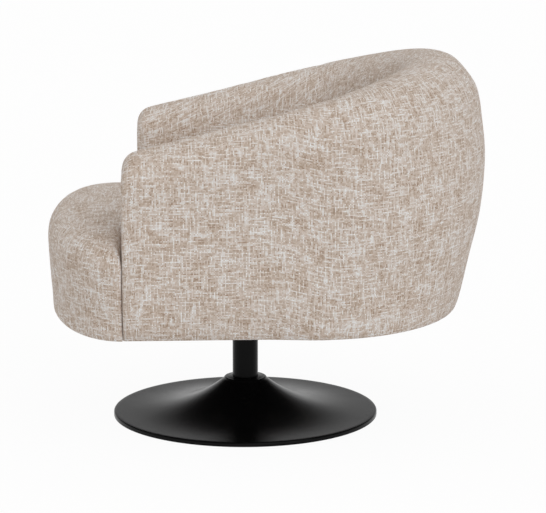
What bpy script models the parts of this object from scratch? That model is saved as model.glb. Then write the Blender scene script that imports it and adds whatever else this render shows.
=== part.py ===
"""Swivel tub armchair on a trumpet base.

Metres, +Z up. The chair faces -Y and the sitter's left is +X. The origin is on the floor,
on the swivel axis.
"""
import math

import bmesh
import bpy
from mathutils import Vector
from mathutils.geometry import delaunay_2d_cdt

# Clearance between pieces that touch
GAP = 0.0003

# Padded wall of the arms and back, seen from above
ARM_FRONT_Y = -0.2215
HALF_WIDTH = 0.380
TOE_IN = 0.10
CORNER_START_Y = 0.160
BACK_Y = 0.4665
ARM_THICKNESS = 0.125
ARM_TOP_ROUND = 0.050
INNER_CORNER_Y = 0.020
BACK_THICKNESS = 0.245

# Padded wall, heights
BODY_BOTTOM = 0.2280
ARM_FRONT_TOP = 0.5590
BACK_TOP = 0.7155
BACK_RISE = 0.006
ARM_FRONT_RISE = 0.005
SEAT_LEVEL = 0.4525

# Rounding of the arm fronts: outer edge, inner edge, top edge
FRONT_RADIUS_OUTER = 0.008
FRONT_RADIUS_INNER = 0.020
FRONT_RADIUS_TOP = 0.026
FRONT_FOOT_DEPTH = 0.050

# Seat block
SEAM_GAP = 0.0005
SEAT_FRONT_Y = -0.382
SEAT_SET_IN = 0.003
SEAT_TOP = 0.4415
SEAT_CROWN = 0.30
SEAT_REAR_FALL = 0.040
SEAT_FRONT_FALL = 0.80
SEAT_WALL_GAP = 0.0008
ROLL_FRONT = 0.045
ROLL_SIDE = 0.030
ROLL_SHOULDER = 0.014
ROLL_SPREAD = 4.0

# Cover and foam
COVER_THICKNESS = 0.0015
FOAM_INSET = COVER_THICKNESS + GAP
PAD_END_INSET = 8 * GAP
PAD_THICKNESS = 0.0382
PAD_END_SHARE = 0.15

# Timber frame
RAIL_BOTTOM = 0.2357
RAIL_TOP = 0.2957
RAIL_WIDTH = 0.040
FRONT_RAIL_WIDTH = 0.022
FRONT_RAIL_END = 0.007
SIDE_RAIL_FRONT_Y = -0.190
SPRING_RAIL_Y = 0.125
CROSS_RAIL_X = 0.085
CROSS_RAIL_WIDTH = 0.045
CROSS_RAIL_TOP = 0.2827
GUSSET_WIDTH = 0.038
GUSSET_REAR_Y = -0.060
PANEL_THICKNESS = 0.012
PANEL_DEPTH_ARM = 0.040
PANEL_DEPTH_BACK = 0.076
PANEL_TOP_DROP = 0.055

# Sinuous springs
SPRING_WIRE_RADIUS = 0.0016
SPRING_SIDE_CLEARANCE = 0.010
SPRING_STAGGER = 0.014
SPRING_HALF_WAVES = 17
SPRING_SWING = 0.022

# Dust cover
CLOTH_THICKNESS = 0.0006
PLATE_OPENING = 0.108

# Base
DISC_RADIUS = 0.260
RIM_BOTTOM = 0.0022
RIM_TOP = 0.0104
NECK_CLEARANCE = 0.0105
NECK_WALL = 0.007
NECK_TOP = 0.0755
NECK_LIP = 0.0025
COVER_SHEET = 0.002
FLARE_POWER = 3.0
PAD_RADIUS = 0.245
FELT_THICKNESS = 0.003
BALLAST_RADIUS = 0.240
BALLAST_THICKNESS = 0.0045
FLANGE_MARGIN = 0.0125
FLANGE_THICKNESS = 0.006
FLANGE_BOLT_MARGIN = 0.006
FLANGE_BOLT_RADIUS = 0.003

# Column and swivel
COLUMN_RADIUS = 0.025
COLUMN_WALL = 0.0025
COLUMN_TOP = 0.2127
SPINDLE_RADIUS = 0.0125
SPINDLE_BOTTOM = 0.045
SPINDLE_HEAD_REACH = 0.0075
SPINDLE_HEAD = 0.005
CLIP_Z = 0.050
CLIP_THICKNESS = 0.0012
CLIP_DEPTH = 0.001
CLIP_WIDTH = 0.0045
WASHER_THICKNESS = 0.002
BUSH_LENGTH = 0.030
BUSH_FLANGE = 0.0025
RACE_THICKNESS = 0.0015
RACE_CLEARANCE = 0.0011
RACE_INSET = 0.0005
BALL_COUNT = 8
BALL_RADIUS = 0.002
CAGE_THICKNESS = 0.002

# Swivel plate and its fixings
PLATE_HALF = 0.100
PLATE_THICKNESS = 0.003
PLATE_CORNER = 0.015
PLATE_HOLE_Y = 0.085
HUB_WALL = 0.010
BOLT_RADIUS = 0.004
BOLT_HEAD_RADIUS = 0.0075
BOLT_HEAD = 0.005
BOLT_LENGTH = 0.042
HOLE_CLEARANCE = 0.0005
NUT_BARREL_RADIUS = 0.0056
NUT_BARREL = 0.010
NUT_FLANGE_RADIUS = 0.010
NUT_FLANGE = 0.0012

# Facets
ROUND_STEPS = 48
TUBE_STEPS = 24
HOLE_STEPS = 10
CORNER_STEPS = 8
FRONT_STEPS = 11


# Sizes and heights that follow from the sizes above
SEAT_HALF_WIDTH = HALF_WIDTH - SEAT_SET_IN
NECK_BORE = COLUMN_RADIUS + NECK_CLEARANCE
NECK_RADIUS = NECK_BORE + NECK_WALL
FLANGE_RADIUS = COLUMN_RADIUS + FLANGE_MARGIN
FLANGE_BOLT_CIRCLE = COLUMN_RADIUS + FLANGE_BOLT_MARGIN
SPINDLE_HEAD_RADIUS = SPINDLE_RADIUS + SPINDLE_HEAD_REACH
HUB_RADIUS = SPINDLE_RADIUS + GAP + HUB_WALL
RACE_INNER = SPINDLE_RADIUS + RACE_CLEARANCE
RACE_OUTER = COLUMN_RADIUS - RACE_INSET
BALL_CIRCLE = 0.5 * (RACE_INNER + RACE_OUTER)
BALLAST_BOTTOM = FELT_THICKNESS + GAP
BALLAST_TOP = BALLAST_BOTTOM + BALLAST_THICKNESS
FLANGE_BOTTOM = BALLAST_TOP + GAP
FLANGE_TOP = FLANGE_BOTTOM + FLANGE_THICKNESS
WASHER_BOTTOM = CLIP_Z + CLIP_THICKNESS + GAP
LOWER_BUSH_BOTTOM = WASHER_BOTTOM + WASHER_THICKNESS + GAP
LOWER_RACE_BOTTOM = COLUMN_TOP + GAP + BUSH_FLANGE + GAP
BALL_Z = LOWER_RACE_BOTTOM + RACE_THICKNESS + GAP + BALL_RADIUS
UPPER_RACE_BOTTOM = BALL_Z + BALL_RADIUS + GAP
HUB_BOTTOM = UPPER_RACE_BOTTOM + RACE_THICKNESS + GAP
PLATE_TOP = RAIL_BOTTOM - GAP
PLATE_BOTTOM = PLATE_TOP - PLATE_THICKNESS
INNER_COVER_BOTTOM = RAIL_TOP + GAP
SPRING_Z = RAIL_TOP + GAP + SPRING_WIRE_RADIUS
SEAT_FOAM_BOTTOM = SPRING_Z + SPRING_WIRE_RADIUS + GAP
SKIRT_BOTTOM = SEAT_FOAM_BOTTOM - COVER_THICKNESS
SHOULDER_Y = ARM_FRONT_Y - SEAM_GAP
SPRING_REAR_Y = SPRING_RAIL_Y + 0.4 * RAIL_WIDTH


def clear_scene():
    for item in list(bpy.data.objects):
        bpy.data.objects.remove(item, do_unlink=True)


def material(name, colour, roughness, metallic=0.0):
    made = bpy.data.materials.new(name)
    made.use_nodes = True
    shader = made.node_tree.nodes["Principled BSDF"]
    shader.inputs["Base Color"].default_value = (*colour, 1.0)
    shader.inputs["Roughness"].default_value = roughness
    shader.inputs["Metallic"].default_value = metallic
    return made


def empty(name):
    made = bpy.data.objects.new(name, None)
    bpy.context.scene.collection.objects.link(made)
    return made


def add_object(name, data, finish, parent, place=(0.0, 0.0, 0.0)):
    made = bpy.data.objects.new(name, data)
    made.location = place
    made.parent = parent
    if not data.materials:
        data.materials.append(finish)
    bpy.context.scene.collection.objects.link(made)
    return made


def to_mesh(name, bm, smooth_angle=None):
    bmesh.ops.recalc_face_normals(bm, faces=bm.faces)
    mesh = bpy.data.meshes.new(name)
    bm.to_mesh(mesh)
    bm.free()
    if smooth_angle is not None:
        mesh.shade_smooth()
        mesh.set_sharp_from_angle(angle=math.radians(smooth_angle))
    return mesh


def turned(name, profile, steps=TUBE_STEPS):
    """Solid of revolution about Z. A profile that starts on the axis also ends on it."""
    bm = bmesh.new()
    rings = []
    for radius, height in profile:
        count = steps if radius > 0 else 1
        turns = [2 * math.pi * k / steps for k in range(count)]
        rings.append([bm.verts.new((radius * math.cos(t), radius * math.sin(t), height)) for t in turns])
    closing = [] if profile[0][0] == 0 else [(rings[-1], rings[0])]
    for lower, upper in list(zip(rings, rings[1:])) + closing:
        for k in range(steps):
            after = (k + 1) % steps
            corners = [
                lower[k % len(lower)],
                lower[after % len(lower)],
                upper[after % len(upper)],
                upper[k % len(upper)],
            ]
            corners = list(dict.fromkeys(corners))
            if len(corners) > 2:
                bm.faces.new(corners)
    return to_mesh(name, bm, smooth_angle=35)


def plate(name, loops, bottom, top):
    """Flat piece of even thickness. The first loop is its outline and the others are holes."""
    flat = bmesh.new()
    edges = []
    for loop in loops:
        verts = [flat.verts.new((x, y, 0.0)) for x, y in loop]
        edges += [flat.edges.new((verts[k - 1], verts[k])) for k in range(len(verts))]
    flat.verts.index_update()
    rim = [[v.index for v in edge.verts] for edge in edges]
    bmesh.ops.triangle_fill(flat, use_beauty=True, edges=edges)
    flat.verts.index_update()
    points = [v.co.copy() for v in flat.verts]
    triangles = [[v.index for v in face.verts] for face in flat.faces]
    flat.free()
    bm = bmesh.new()
    low = [bm.verts.new((p.x, p.y, bottom)) for p in points]
    high = [bm.verts.new((p.x, p.y, top)) for p in points]
    for corners in triangles:
        bm.faces.new([low[k] for k in reversed(corners)])
        bm.faces.new([high[k] for k in corners])
    for a, b in rim:
        bm.faces.new([low[a], low[b], high[b], high[a]])
    return to_mesh(name, bm)


def circle(radius, x=0.0, y=0.0, steps=HOLE_STEPS):
    turns = [2 * math.pi * k / steps for k in range(steps)]
    return [(x + radius * math.cos(t), y + radius * math.sin(t)) for t in turns]


def sweep(name, rings):
    """Closed solid through rings with the same number of points, its two ends filled."""
    bm = bmesh.new()
    verts = [[bm.verts.new(point) for point in ring] for ring in rings]
    count = len(rings[0])
    for near, far in zip(verts, verts[1:]):
        for k in range(count):
            after = (k + 1) % count
            bm.faces.new([near[k], near[after], far[after]])
            bm.faces.new([near[k], far[after], far[k]])
    bm.faces.new(verts[0])
    bm.faces.new(verts[-1])
    return to_mesh(name, bm)


def mix(a, b, share):
    return a + (b - a) * share


def on_height(flat, height):
    return Vector((flat.x, flat.y, height))


# Outline of the padded wall, seen from above

def taper(y):
    return 1.0 - TOE_IN * (y - ARM_FRONT_Y)


def arm_station(y):
    point = Vector((HALF_WIDTH * taper(y), y))
    normal = Vector((1.0, HALF_WIDTH * TOE_IN)).normalized()
    return point, normal


def back_station(angle):
    depth = BACK_Y - CORNER_START_Y
    y = CORNER_START_Y + depth * math.sin(angle)
    rise = depth * math.cos(angle)
    point = Vector((HALF_WIDTH * taper(y) * math.cos(angle), y))
    run = -HALF_WIDTH * (taper(y) * math.sin(angle) + TOE_IN * rise * math.cos(angle))
    return point, Vector((rise, -run)).normalized()


def mirrored(station):
    point, normal = station
    return Vector((-point.x, point.y)), Vector((-normal.x, normal.y))


def wall_depth(station):
    """Thickness of the wall at seat level, along the outline's normal."""
    point, normal = station
    depth = BACK_Y - BACK_THICKNESS - INNER_CORNER_Y
    low, high = 0.0, 2 * BACK_THICKNESS
    for _ in range(40):
        middle = (low + high) / 2
        spot = point - normal * middle
        across = spot.x / (HALF_WIDTH * taper(spot.y) - ARM_THICKNESS)
        along = max(0.0, spot.y - INNER_CORNER_Y) / depth
        if across * across + along * along > 1.0:
            low = middle
        else:
            high = middle
    return high


def thickening(station):
    return (wall_depth(station) - ARM_THICKNESS) / (BACK_THICKNESS - ARM_THICKNESS)


def crest_height(station):
    point, normal = station
    share = thickening(station)
    crest_y = point.y - normal.y * mix(0.5 * ARM_THICKNESS, 0.105, share)
    back_crest_y = BACK_Y - 0.105
    along = (crest_y - ARM_FRONT_Y) / (back_crest_y - ARM_FRONT_Y)
    rise = max(0.0, (along - 0.8) / 0.2)
    front_rise = max(0.0, 1.0 - along / 0.3)
    return mix(ARM_FRONT_TOP, BACK_TOP, along) + BACK_RISE * rise + ARM_FRONT_RISE * front_rise


# Cross-section of the wall: depth inward from the outline, and height

OUTER_LEVELS = (0.0, 0.09, 0.24, 0.45, 0.70, 0.85, 1.0)
OUTER_ARM = (0.020, 0.009, 0.003, 0.0, 0.0, 0.0, 0.0)
OUTER_BACK = (0.0505, 0.0365, 0.0245, 0.0095, 0.0012, 0.0070, 0.0185)
CORNER_FULLNESS = 0.024
TOP_BACK = (
    (0.036, -0.044),
    (0.0615, -0.017),
    (0.085, -0.0035),
    (0.105, 0.0),
    (0.130, -0.003),
    (0.152, -0.018),
    (0.166, -0.048),
)
INNER_BACK = ((0.174, -0.085), (0.210, -0.172))


def wall_section(station):
    share = thickening(station)
    crest = crest_height(station)
    depth = wall_depth(station)
    half = 0.5 * ARM_THICKNESS
    shoulder = crest - mix(ARM_TOP_ROUND, 0.068, share)
    fuller = CORNER_FULLNESS * 4.0 * share * (1.0 - share)
    points = []
    for level, arm, back in zip(OUTER_LEVELS, OUTER_ARM, OUTER_BACK):
        depth_here = max(0.0, mix(arm, back, share) - fuller * (1.0 - level) ** 2)
        points.append((depth_here, mix(BODY_BOTTOM, shoulder, level)))
    for k, (back_depth, back_drop) in enumerate(TOP_BACK):
        turn = math.pi * (k + 1) / (len(TOP_BACK) + 1)
        arm_depth = half - half * math.cos(turn)
        arm_drop = ARM_TOP_ROUND * (math.sin(turn) - 1.0)
        points.append((mix(arm_depth, back_depth, share), crest + mix(arm_drop, back_drop, share)))
    high_depth, high_drop = INNER_BACK[0]
    top = (mix(ARM_THICKNESS, high_depth, share), crest + mix(-ARM_TOP_ROUND - 0.005, high_drop, share))
    middle_depth = mix(ARM_THICKNESS, INNER_BACK[1][0], share)
    points.append(top)
    points.append((middle_depth, 0.5 * (top[1] + SEAT_LEVEL)))
    points.append((depth, SEAT_LEVEL))
    points.append((depth, INNER_COVER_BOTTOM))
    return points


def section_normals(points):
    """Unit vectors into the wall at each point of the section."""
    normals = []
    last = len(points) - 1
    for k in range(len(points)):
        before = points[max(0, k - 1)]
        after = points[min(last, k + 1)]
        along = Vector((after[0] - before[0], after[1] - before[1])).normalized()
        normals.append(Vector((along.y, -along.x)))
    normals[0] = Vector((1.0, 0.0))
    normals[last] = Vector((-1.0, 0.0))
    return normals


def front_radius(k, count):
    """Rounding of the arm's front edge, from its outer side over its top to its inner side."""
    place = k / (count - 1)
    if place < 0.35:
        return FRONT_RADIUS_OUTER
    if place < 0.50:
        return mix(FRONT_RADIUS_OUTER, FRONT_RADIUS_TOP, (place - 0.35) / 0.15)
    if place < 0.65:
        return FRONT_RADIUS_TOP
    return mix(FRONT_RADIUS_TOP, FRONT_RADIUS_INNER, min(1.0, (place - 0.65) / 0.10))


def wall_point(station, depth, height):
    point, normal = station
    return on_height(point - normal * depth, height)


def front_ring(turn):
    """Ring of the rounded arm front: turn is 0 where the side begins and a right angle at the front."""
    ring = []
    count = len(wall_section(arm_station(ARM_FRONT_Y)))
    for k in range(count):
        radius = front_radius(k, count)
        y = ARM_FRONT_Y + radius * (1.0 - math.sin(turn))
        station = arm_station(y)
        section = wall_section(station)
        inward = section_normals(section)[k]
        drawn = radius * (1.0 - math.cos(turn))
        depth = section[k][0] + inward.x * drawn
        point = wall_point(station, depth, section[k][1] + inward.y * drawn)
        ring.append(Vector((point.x, y, point.z)))
    return ring


ARM_STATIONS_Y = (-0.120, -0.020, 0.060, 0.115)
FRONT_TURNS = (math.pi / 2, math.pi / 3, math.pi / 6, 0.0)


def half_stations():
    arms = [arm_station(y) for y in ARM_STATIONS_Y]
    turns = [0.5 * math.pi * k / CORNER_STEPS for k in range(CORNER_STEPS + 1)]
    return arms + [back_station(turn) for turn in turns]


def full_stations():
    left = half_stations()
    return left + [mirrored(station) for station in reversed(left[:-1])]


def wall_rings():
    """Rings of the wall's outside, from the left arm's front round the back to the right arm's."""
    fronts = [front_ring(turn) for turn in FRONT_TURNS]
    middle = [[wall_point(s, d, z) for d, z in wall_section(s)] for s in full_stations()]
    flipped = [[Vector((-p.x, p.y, p.z)) for p in ring] for ring in reversed(fronts)]
    return fronts + middle + flipped


def halves(quad):
    """A four-sided face as two triangles, so that cover and foam fold along the same lines."""
    a, b, c, d = quad
    return [[a, b, c], [a, c, d]]


def sheet_mesh(grid, faces):
    bm = bmesh.new()
    verts = [bm.verts.new(point) for point in grid]
    for corners in faces:
        bm.faces.new([verts[k] for k in corners])
    return bm


def wall_faces(ring_count, point_count, foot):
    """Faces of the wall's outside, with each arm front closed from side to side.

    The two points from foot on are the inner ends of the arm fronts' lower edges.
    """
    faces = []
    for ring in range(ring_count - 1):
        here = ring * point_count
        there = here + point_count
        for k in range(point_count - 1):
            faces += halves([here + k, there + k, there + k + 1, here + k + 1])
    start = (ring_count - 1) * point_count
    far = point_count - 1
    faces += [[0, 1, foot], [1, far - 1, foot], [far - 1, far, foot]]
    faces += [[start, foot + 1, start + 1], [start + 1, foot + 1, start + far - 1]]
    faces.append([start + far - 1, foot + 1, start + far])
    for k in range(1, point_count // 2 - 1):
        far = point_count - 1 - k
        faces += halves([k, k + 1, far - 1, far])
        faces += halves([start + k, start + far, start + far - 1, start + k + 1])
    return faces


def inset_points(bm, amount):
    """Every vertex moved inward so that the faces lie this far inside the old ones."""
    bm.normal_update()
    return [v.co - v.normal * v.calc_shell_factor() * amount for v in bm.verts]


def skin(name, bm):
    """Open sheet of fabric that a Solidify modifier thickens inward."""
    mesh = bpy.data.meshes.new(name)
    bm.to_mesh(mesh)
    mesh.shade_smooth()
    return mesh


def thicken(item):
    solid = item.modifiers.new("Fabric", "SOLIDIFY")
    solid.thickness = COVER_THICKNESS
    solid.offset = -1.0
    solid.use_even_offset = True
    solid.use_rim = True


# Outline of the seat block, seen from above, front centre to rear centre

def front_curve(angle, depth=0.0):
    wide = SEAT_HALF_WIDTH - depth
    long = SHOULDER_Y - SEAT_FRONT_Y - depth
    return Vector((wide * math.cos(angle), SHOULDER_Y - long * math.sin(angle)))


def front_line(depth):
    """The front's faceted line at this depth, from the left shoulder to the right one."""
    steps = range(FRONT_STEPS, -FRONT_STEPS - 1, -1)
    return [front_curve(0.5 * math.pi * (1.0 - k / FRONT_STEPS), depth) for k in steps]


def line_y(line, x):
    for near, far in zip(line, line[1:]):
        if far.x <= x <= near.x:
            return mix(near.y, far.y, (near.x - x) / (near.x - far.x))
    return line[0].y


def cut_lines(depths, reach):
    """The faceted lines at these depths, cut off at the same stations where the first reaches this X."""
    lines = [front_line(depth) for depth in depths]
    last = max(k for k, spot in enumerate(lines[0]) if spot.x >= reach)
    share = (lines[0][last].x - reach) / (lines[0][last].x - lines[0][last + 1].x)
    cut = []
    for line in lines:
        kept = line[last:len(line) - last]
        kept[0] = line[last].lerp(line[last + 1], share)
        kept[-1] = line[-1 - last].lerp(line[-2 - last], share)
        cut.append(kept)
    return cut


def inner_corner_x():
    return HALF_WIDTH * taper(ARM_FRONT_Y) - ARM_THICKNESS - SEAT_WALL_GAP


def seat_half_outline():
    """Points with the roll radius and the height of the block's lower edge at each."""
    points = []
    for k in range(FRONT_STEPS + 1):
        turn = 0.5 * math.pi * (1.0 - k / FRONT_STEPS)
        spot = front_curve(turn)
        roll = mix(ROLL_SIDE, ROLL_FRONT, math.sin(turn) ** 2)
        narrow = ROLL_SHOULDER + ROLL_SPREAD * (SHOULDER_Y - spot.y) ** 2
        points.append((spot, min(roll, narrow), BODY_BOTTOM))
    inner = inner_corner_x()
    for share, rise in ((0.45, 1.0), (0.75, 1.0), (1.0, 1.0)):
        spot = Vector((mix(SEAT_HALF_WIDTH, inner, share), SHOULDER_Y))
        points.append((spot, ROLL_SHOULDER, mix(BODY_BOTTOM, SKIRT_BOTTOM, rise)))
    for station in half_stations():
        depth = wall_depth(station) + SEAT_WALL_GAP
        spot = wall_point(station, depth, 0.0).xy
        points.append((spot, ROLL_SIDE, SKIRT_BOTTOM))
    return points


def seat_outline():
    half = seat_half_outline()
    other = [(Vector((-p.x, p.y)), roll, low) for p, roll, low in reversed(half[1:-1])]
    return half + other


def inward_steps(points):
    """Vector at each corner that moves both of its edges inward by one unit."""
    steps = []
    count = len(points)
    for k in range(count):
        before = (points[k] - points[k - 1]).normalized()
        after = (points[(k + 1) % count] - points[k]).normalized()
        first = Vector((-before.y, before.x))
        second = Vector((-after.y, after.x))
        steps.append((first + second) / (1.0 + first.dot(second)))
    return steps


def seat_height(x, y):
    rear = max(0.0, y + 0.25)
    front = max(0.0, -0.25 - y)
    return SEAT_TOP - SEAT_CROWN * x * x - SEAT_REAR_FALL * rear - SEAT_FRONT_FALL * front * front


SIDE_ROWS = ((0.0, 1.0), (0.45, 0.80))
SIDE_DRAW_FRONT = 0.009
SIDE_DRAW_SIDE = 0.014
ROLL_ROWS = (0.0, 0.40, 0.75, 1.0)
CROWN_STEP_X = 0.070
CROWN_STEP_Y = 0.065
CROWN_MARGIN = 0.028


def draw_in(spot, step):
    """How far the block's lower edge is drawn in at this point of its outline."""
    if spot.y > SHOULDER_Y + GAP:
        return Vector((0.0, 0.0))
    if spot.y > SHOULDER_Y - GAP:
        on_side = abs(spot.x) > SEAT_HALF_WIDTH - GAP
        return Vector((-math.copysign(SIDE_DRAW_SIDE, spot.x), 0.0)) if on_side else Vector((0.0, 0.0))
    share = min(1.0, abs(spot.x) / SEAT_HALF_WIDTH)
    return step * mix(SIDE_DRAW_FRONT, SIDE_DRAW_SIDE, share)


def seat_rings():
    """Rows of points from the seat block's lower edge up its side and over its rolled edge."""
    outline = seat_outline()
    steps = inward_steps([spot for spot, _, _ in outline])
    rings = []
    for level, draw in SIDE_ROWS + ((1.0, 0.45),):
        ring = []
        for (spot, _, low), step in zip(outline, steps):
            flat = spot + draw_in(spot, step) * draw
            ring.append(on_height(flat, mix(low, SEAT_FOAM_BOTTOM, level)))
        rings.append(ring)
    for part in ROLL_ROWS:
        turn = 0.5 * math.pi * part
        ring = []
        for (spot, roll, _), step in zip(outline, steps):
            flat = spot + step * roll * (1.0 - math.cos(turn))
            ring.append(on_height(flat, seat_height(flat.x, flat.y) - roll * (1.0 - math.sin(turn))))
        rings.append(ring)
    return rings


def inside(loop, x, y):
    crossed = False
    for a, b in zip(loop, loop[1:] + loop[:1]):
        if (a.y > y) != (b.y > y) and x < a.x + (b.x - a.x) * (y - a.y) / (b.y - a.y):
            crossed = not crossed
    return crossed


def crown_spots(loop):
    """Even grid of places on the seat's crown, clear of its rolled edge."""
    spots = []
    columns = int(SEAT_HALF_WIDTH / CROWN_STEP_X) + 1
    rows = int(max(abs(SEAT_FRONT_Y), BACK_Y) / CROWN_STEP_Y) + 1
    for i in range(-columns, columns + 1):
        for j in range(-rows, rows + 1):
            spot = Vector((i * CROWN_STEP_X, j * CROWN_STEP_Y))
            near = min((spot - point).length for point in loop)
            if near > CROWN_MARGIN and inside(loop, spot.x, spot.y):
                spots.append(spot)
    return spots


def seat_sheet():
    """The seat block's outside as points and triangles: side rows, rolled edge and crown."""
    rings = seat_rings()
    count = len(rings[0])
    grid = [point for ring in rings for point in ring]
    faces = []
    for row in range(len(rings) - 1):
        low, high = row * count, (row + 1) * count
        for k in range(count):
            after = (k + 1) % count
            faces += halves([low + k, low + after, high + after, high + k])
    loop = [point.xy for point in rings[-1]]
    spots = crown_spots(loop)
    edges = [(k, (k + 1) % count) for k in range(count)]
    found = delaunay_2d_cdt(loop + spots, edges, [], 1, 1e-7)
    first = len(grid) - count
    grid += [on_height(spot, seat_height(spot.x, spot.y)) for spot in spots]
    origin = [sources[0] for sources in found[3]]
    faces += [[first + origin[k] for k in corners] for corners in found[2]]
    return grid, faces, count


# The base, which stands still

def flare_height(radius):
    share = (DISC_RADIUS - radius) / (DISC_RADIUS - NECK_RADIUS)
    return mix(RIM_TOP, NECK_TOP - NECK_LIP, max(0.0, share) ** FLARE_POWER)


def base_cover_mesh():
    edge = DISC_RADIUS - COVER_SHEET
    radii = [mix(edge, NECK_RADIUS, (k / 9) ** 0.75) for k in range(10)]
    outer = [(DISC_RADIUS, RIM_BOTTOM), (DISC_RADIUS, RIM_TOP - COVER_SHEET)]
    outer += [(radius, flare_height(radius)) for radius in radii]
    outer.append((NECK_RADIUS - 0.3 * NECK_LIP, NECK_TOP - 0.3 * NECK_LIP))
    outer.append((NECK_RADIUS - NECK_LIP, NECK_TOP))
    outer.append((NECK_BORE, NECK_TOP))
    inner = [(NECK_BORE, NECK_TOP - COVER_SHEET), (NECK_RADIUS - COVER_SHEET, NECK_TOP - 2 * COVER_SHEET)]
    for radius in reversed(radii[:-1]):
        inner.append((radius - 0.5 * COVER_SHEET, flare_height(radius) - 1.15 * COVER_SHEET))
    inner.append((DISC_RADIUS - COVER_SHEET, RIM_BOTTOM))
    return turned("base_cover", outer + inner, ROUND_STEPS)


def build_base(parent, finish):
    felt = turned("floor_pad", [(0, 0), (PAD_RADIUS, 0), (PAD_RADIUS, FELT_THICKNESS), (0, FELT_THICKNESS)],
                  ROUND_STEPS)
    add_object("floor_pad", felt, finish["felt"], parent)
    places = bolt_places(FLANGE_BOLT_CIRCLE)
    hole = FLANGE_BOLT_RADIUS + HOLE_CLEARANCE
    holes = [circle(hole, x, y) for x, y in places]
    ballast = plate("ballast_plate", [circle(BALLAST_RADIUS, steps=ROUND_STEPS)] + holes,
                    BALLAST_BOTTOM, BALLAST_TOP)
    add_object("ballast_plate", ballast, finish["steel"], parent)
    flange = plate("column_flange", [circle(FLANGE_RADIUS, steps=TUBE_STEPS)] + holes,
                   FLANGE_BOTTOM, FLANGE_TOP)
    add_object("column_flange", flange, finish["black"], parent)
    add_object("base_cover", base_cover_mesh(), finish["black"], parent)
    reach = FLANGE_TOP - BALLAST_BOTTOM
    bolt = bolt_mesh("flange_bolt", FLANGE_BOLT_RADIUS, 0.0048, 0.0035, reach, downward=True)
    for number, (x, y) in enumerate(places, start=1):
        add_object(f"flange_bolt_{number}", bolt, finish["steel"], parent, (x, y, FLANGE_TOP + GAP))
    bore = COLUMN_RADIUS + GAP
    rim = NECK_BORE - GAP
    step = NECK_TOP - COVER_SHEET - 4 * GAP
    collar = turned("neck_collar", [
        (bore, step - 0.006), (rim + 0.002, step - 0.006), (rim + 0.002, step),
        (rim, step), (rim, NECK_TOP + 0.0004), (bore + 0.001, NECK_TOP + 0.0014), (bore, NECK_TOP + 0.0010),
    ])
    add_object("neck_collar", collar, finish["black"], parent)
    inside = COLUMN_RADIUS - COLUMN_WALL
    foot = FLANGE_TOP + GAP
    tube = turned("column_tube", [
        (inside, foot), (COLUMN_RADIUS, foot), (COLUMN_RADIUS, COLUMN_TOP), (inside, COLUMN_TOP),
    ], ROUND_STEPS)
    add_object("column_tube", tube, finish["black"], parent)
    bush_bore = SPINDLE_RADIUS + GAP
    bush_rim = inside - GAP
    low_end = LOWER_BUSH_BOTTOM
    lower = turned("lower_bush", [
        (bush_bore, low_end), (bush_rim, low_end),
        (bush_rim, low_end + BUSH_LENGTH), (bush_bore, low_end + BUSH_LENGTH),
    ])
    add_object("lower_bush", lower, finish["nylon"], parent)
    seat = COLUMN_TOP + GAP
    upper = turned("upper_bush", [
        (bush_bore, seat - BUSH_LENGTH), (bush_rim, seat - BUSH_LENGTH), (bush_rim, seat),
        (COLUMN_RADIUS, seat), (COLUMN_RADIUS, seat + BUSH_FLANGE), (bush_bore, seat + BUSH_FLANGE),
    ])
    add_object("upper_bush", upper, finish["nylon"], parent)
    add_object("thrust_race_lower", race_mesh("thrust_race_lower", LOWER_RACE_BOTTOM), finish["steel"], parent)


def bolt_places(circle_radius):
    turns = [math.radians(45 + 90 * k) for k in range(4)]
    return [(circle_radius * math.cos(t), circle_radius * math.sin(t)) for t in turns]


def bolt_mesh(name, shank, head_radius, head, length, downward):
    """Hexagon-head bolt. The underside of its head is at the origin."""
    way = -1.0 if downward else 1.0
    bm = bmesh.new()
    top = [bm.verts.new((x, y, -way * head)) for x, y in circle(head_radius, steps=6)]
    rim = [bm.verts.new((x, y, 0.0)) for x, y in circle(head_radius, steps=6)]
    neck = [bm.verts.new((x, y, 0.0)) for x, y in circle(shank, steps=6)]
    point = [bm.verts.new((x, y, way * length)) for x, y in circle(shank, steps=6)]
    for near, far in ((top, rim), (rim, neck), (neck, point)):
        for k in range(6):
            after = (k + 1) % 6
            bm.faces.new([near[k], near[after], far[after], far[k]])
    bm.faces.new(top)
    bm.faces.new(point)
    return to_mesh(name, bm)


def race_mesh(name, bottom):
    top = bottom + RACE_THICKNESS
    return turned(name, [(RACE_INNER, bottom), (RACE_OUTER, bottom), (RACE_OUTER, top), (RACE_INNER, top)])


# The ball cage, which keeps the balls on the lower ring

def build_cage(parent, finish):
    pocket = BALL_RADIUS + GAP
    turns = [2 * math.pi * k / BALL_COUNT for k in range(BALL_COUNT)]
    spots = [(BALL_CIRCLE * math.cos(t), BALL_CIRCLE * math.sin(t)) for t in turns]
    loops = [circle(RACE_OUTER - 0.001, steps=TUBE_STEPS), circle(RACE_INNER + 0.001, steps=TUBE_STEPS)]
    loops += [circle(pocket, x, y, 8) for x, y in spots]
    cage = plate("ball_cage", loops, BALL_Z - 0.5 * CAGE_THICKNESS, BALL_Z + 0.5 * CAGE_THICKNESS)
    add_object("ball_cage", cage, finish["nylon"], parent)
    bands = [math.pi * k / 4 for k in range(5)]
    arc = [(BALL_RADIUS * math.sin(b), -BALL_RADIUS * math.cos(b)) for b in bands]
    arc[0] = (0, -BALL_RADIUS)
    arc[-1] = (0, BALL_RADIUS)
    ball = turned("ball", arc, 6)
    for number, (x, y) in enumerate(spots, start=1):
        add_object(f"ball_{number}", ball, finish["steel"], parent, (x, y, BALL_Z))


# The seat, which swivels

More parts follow.
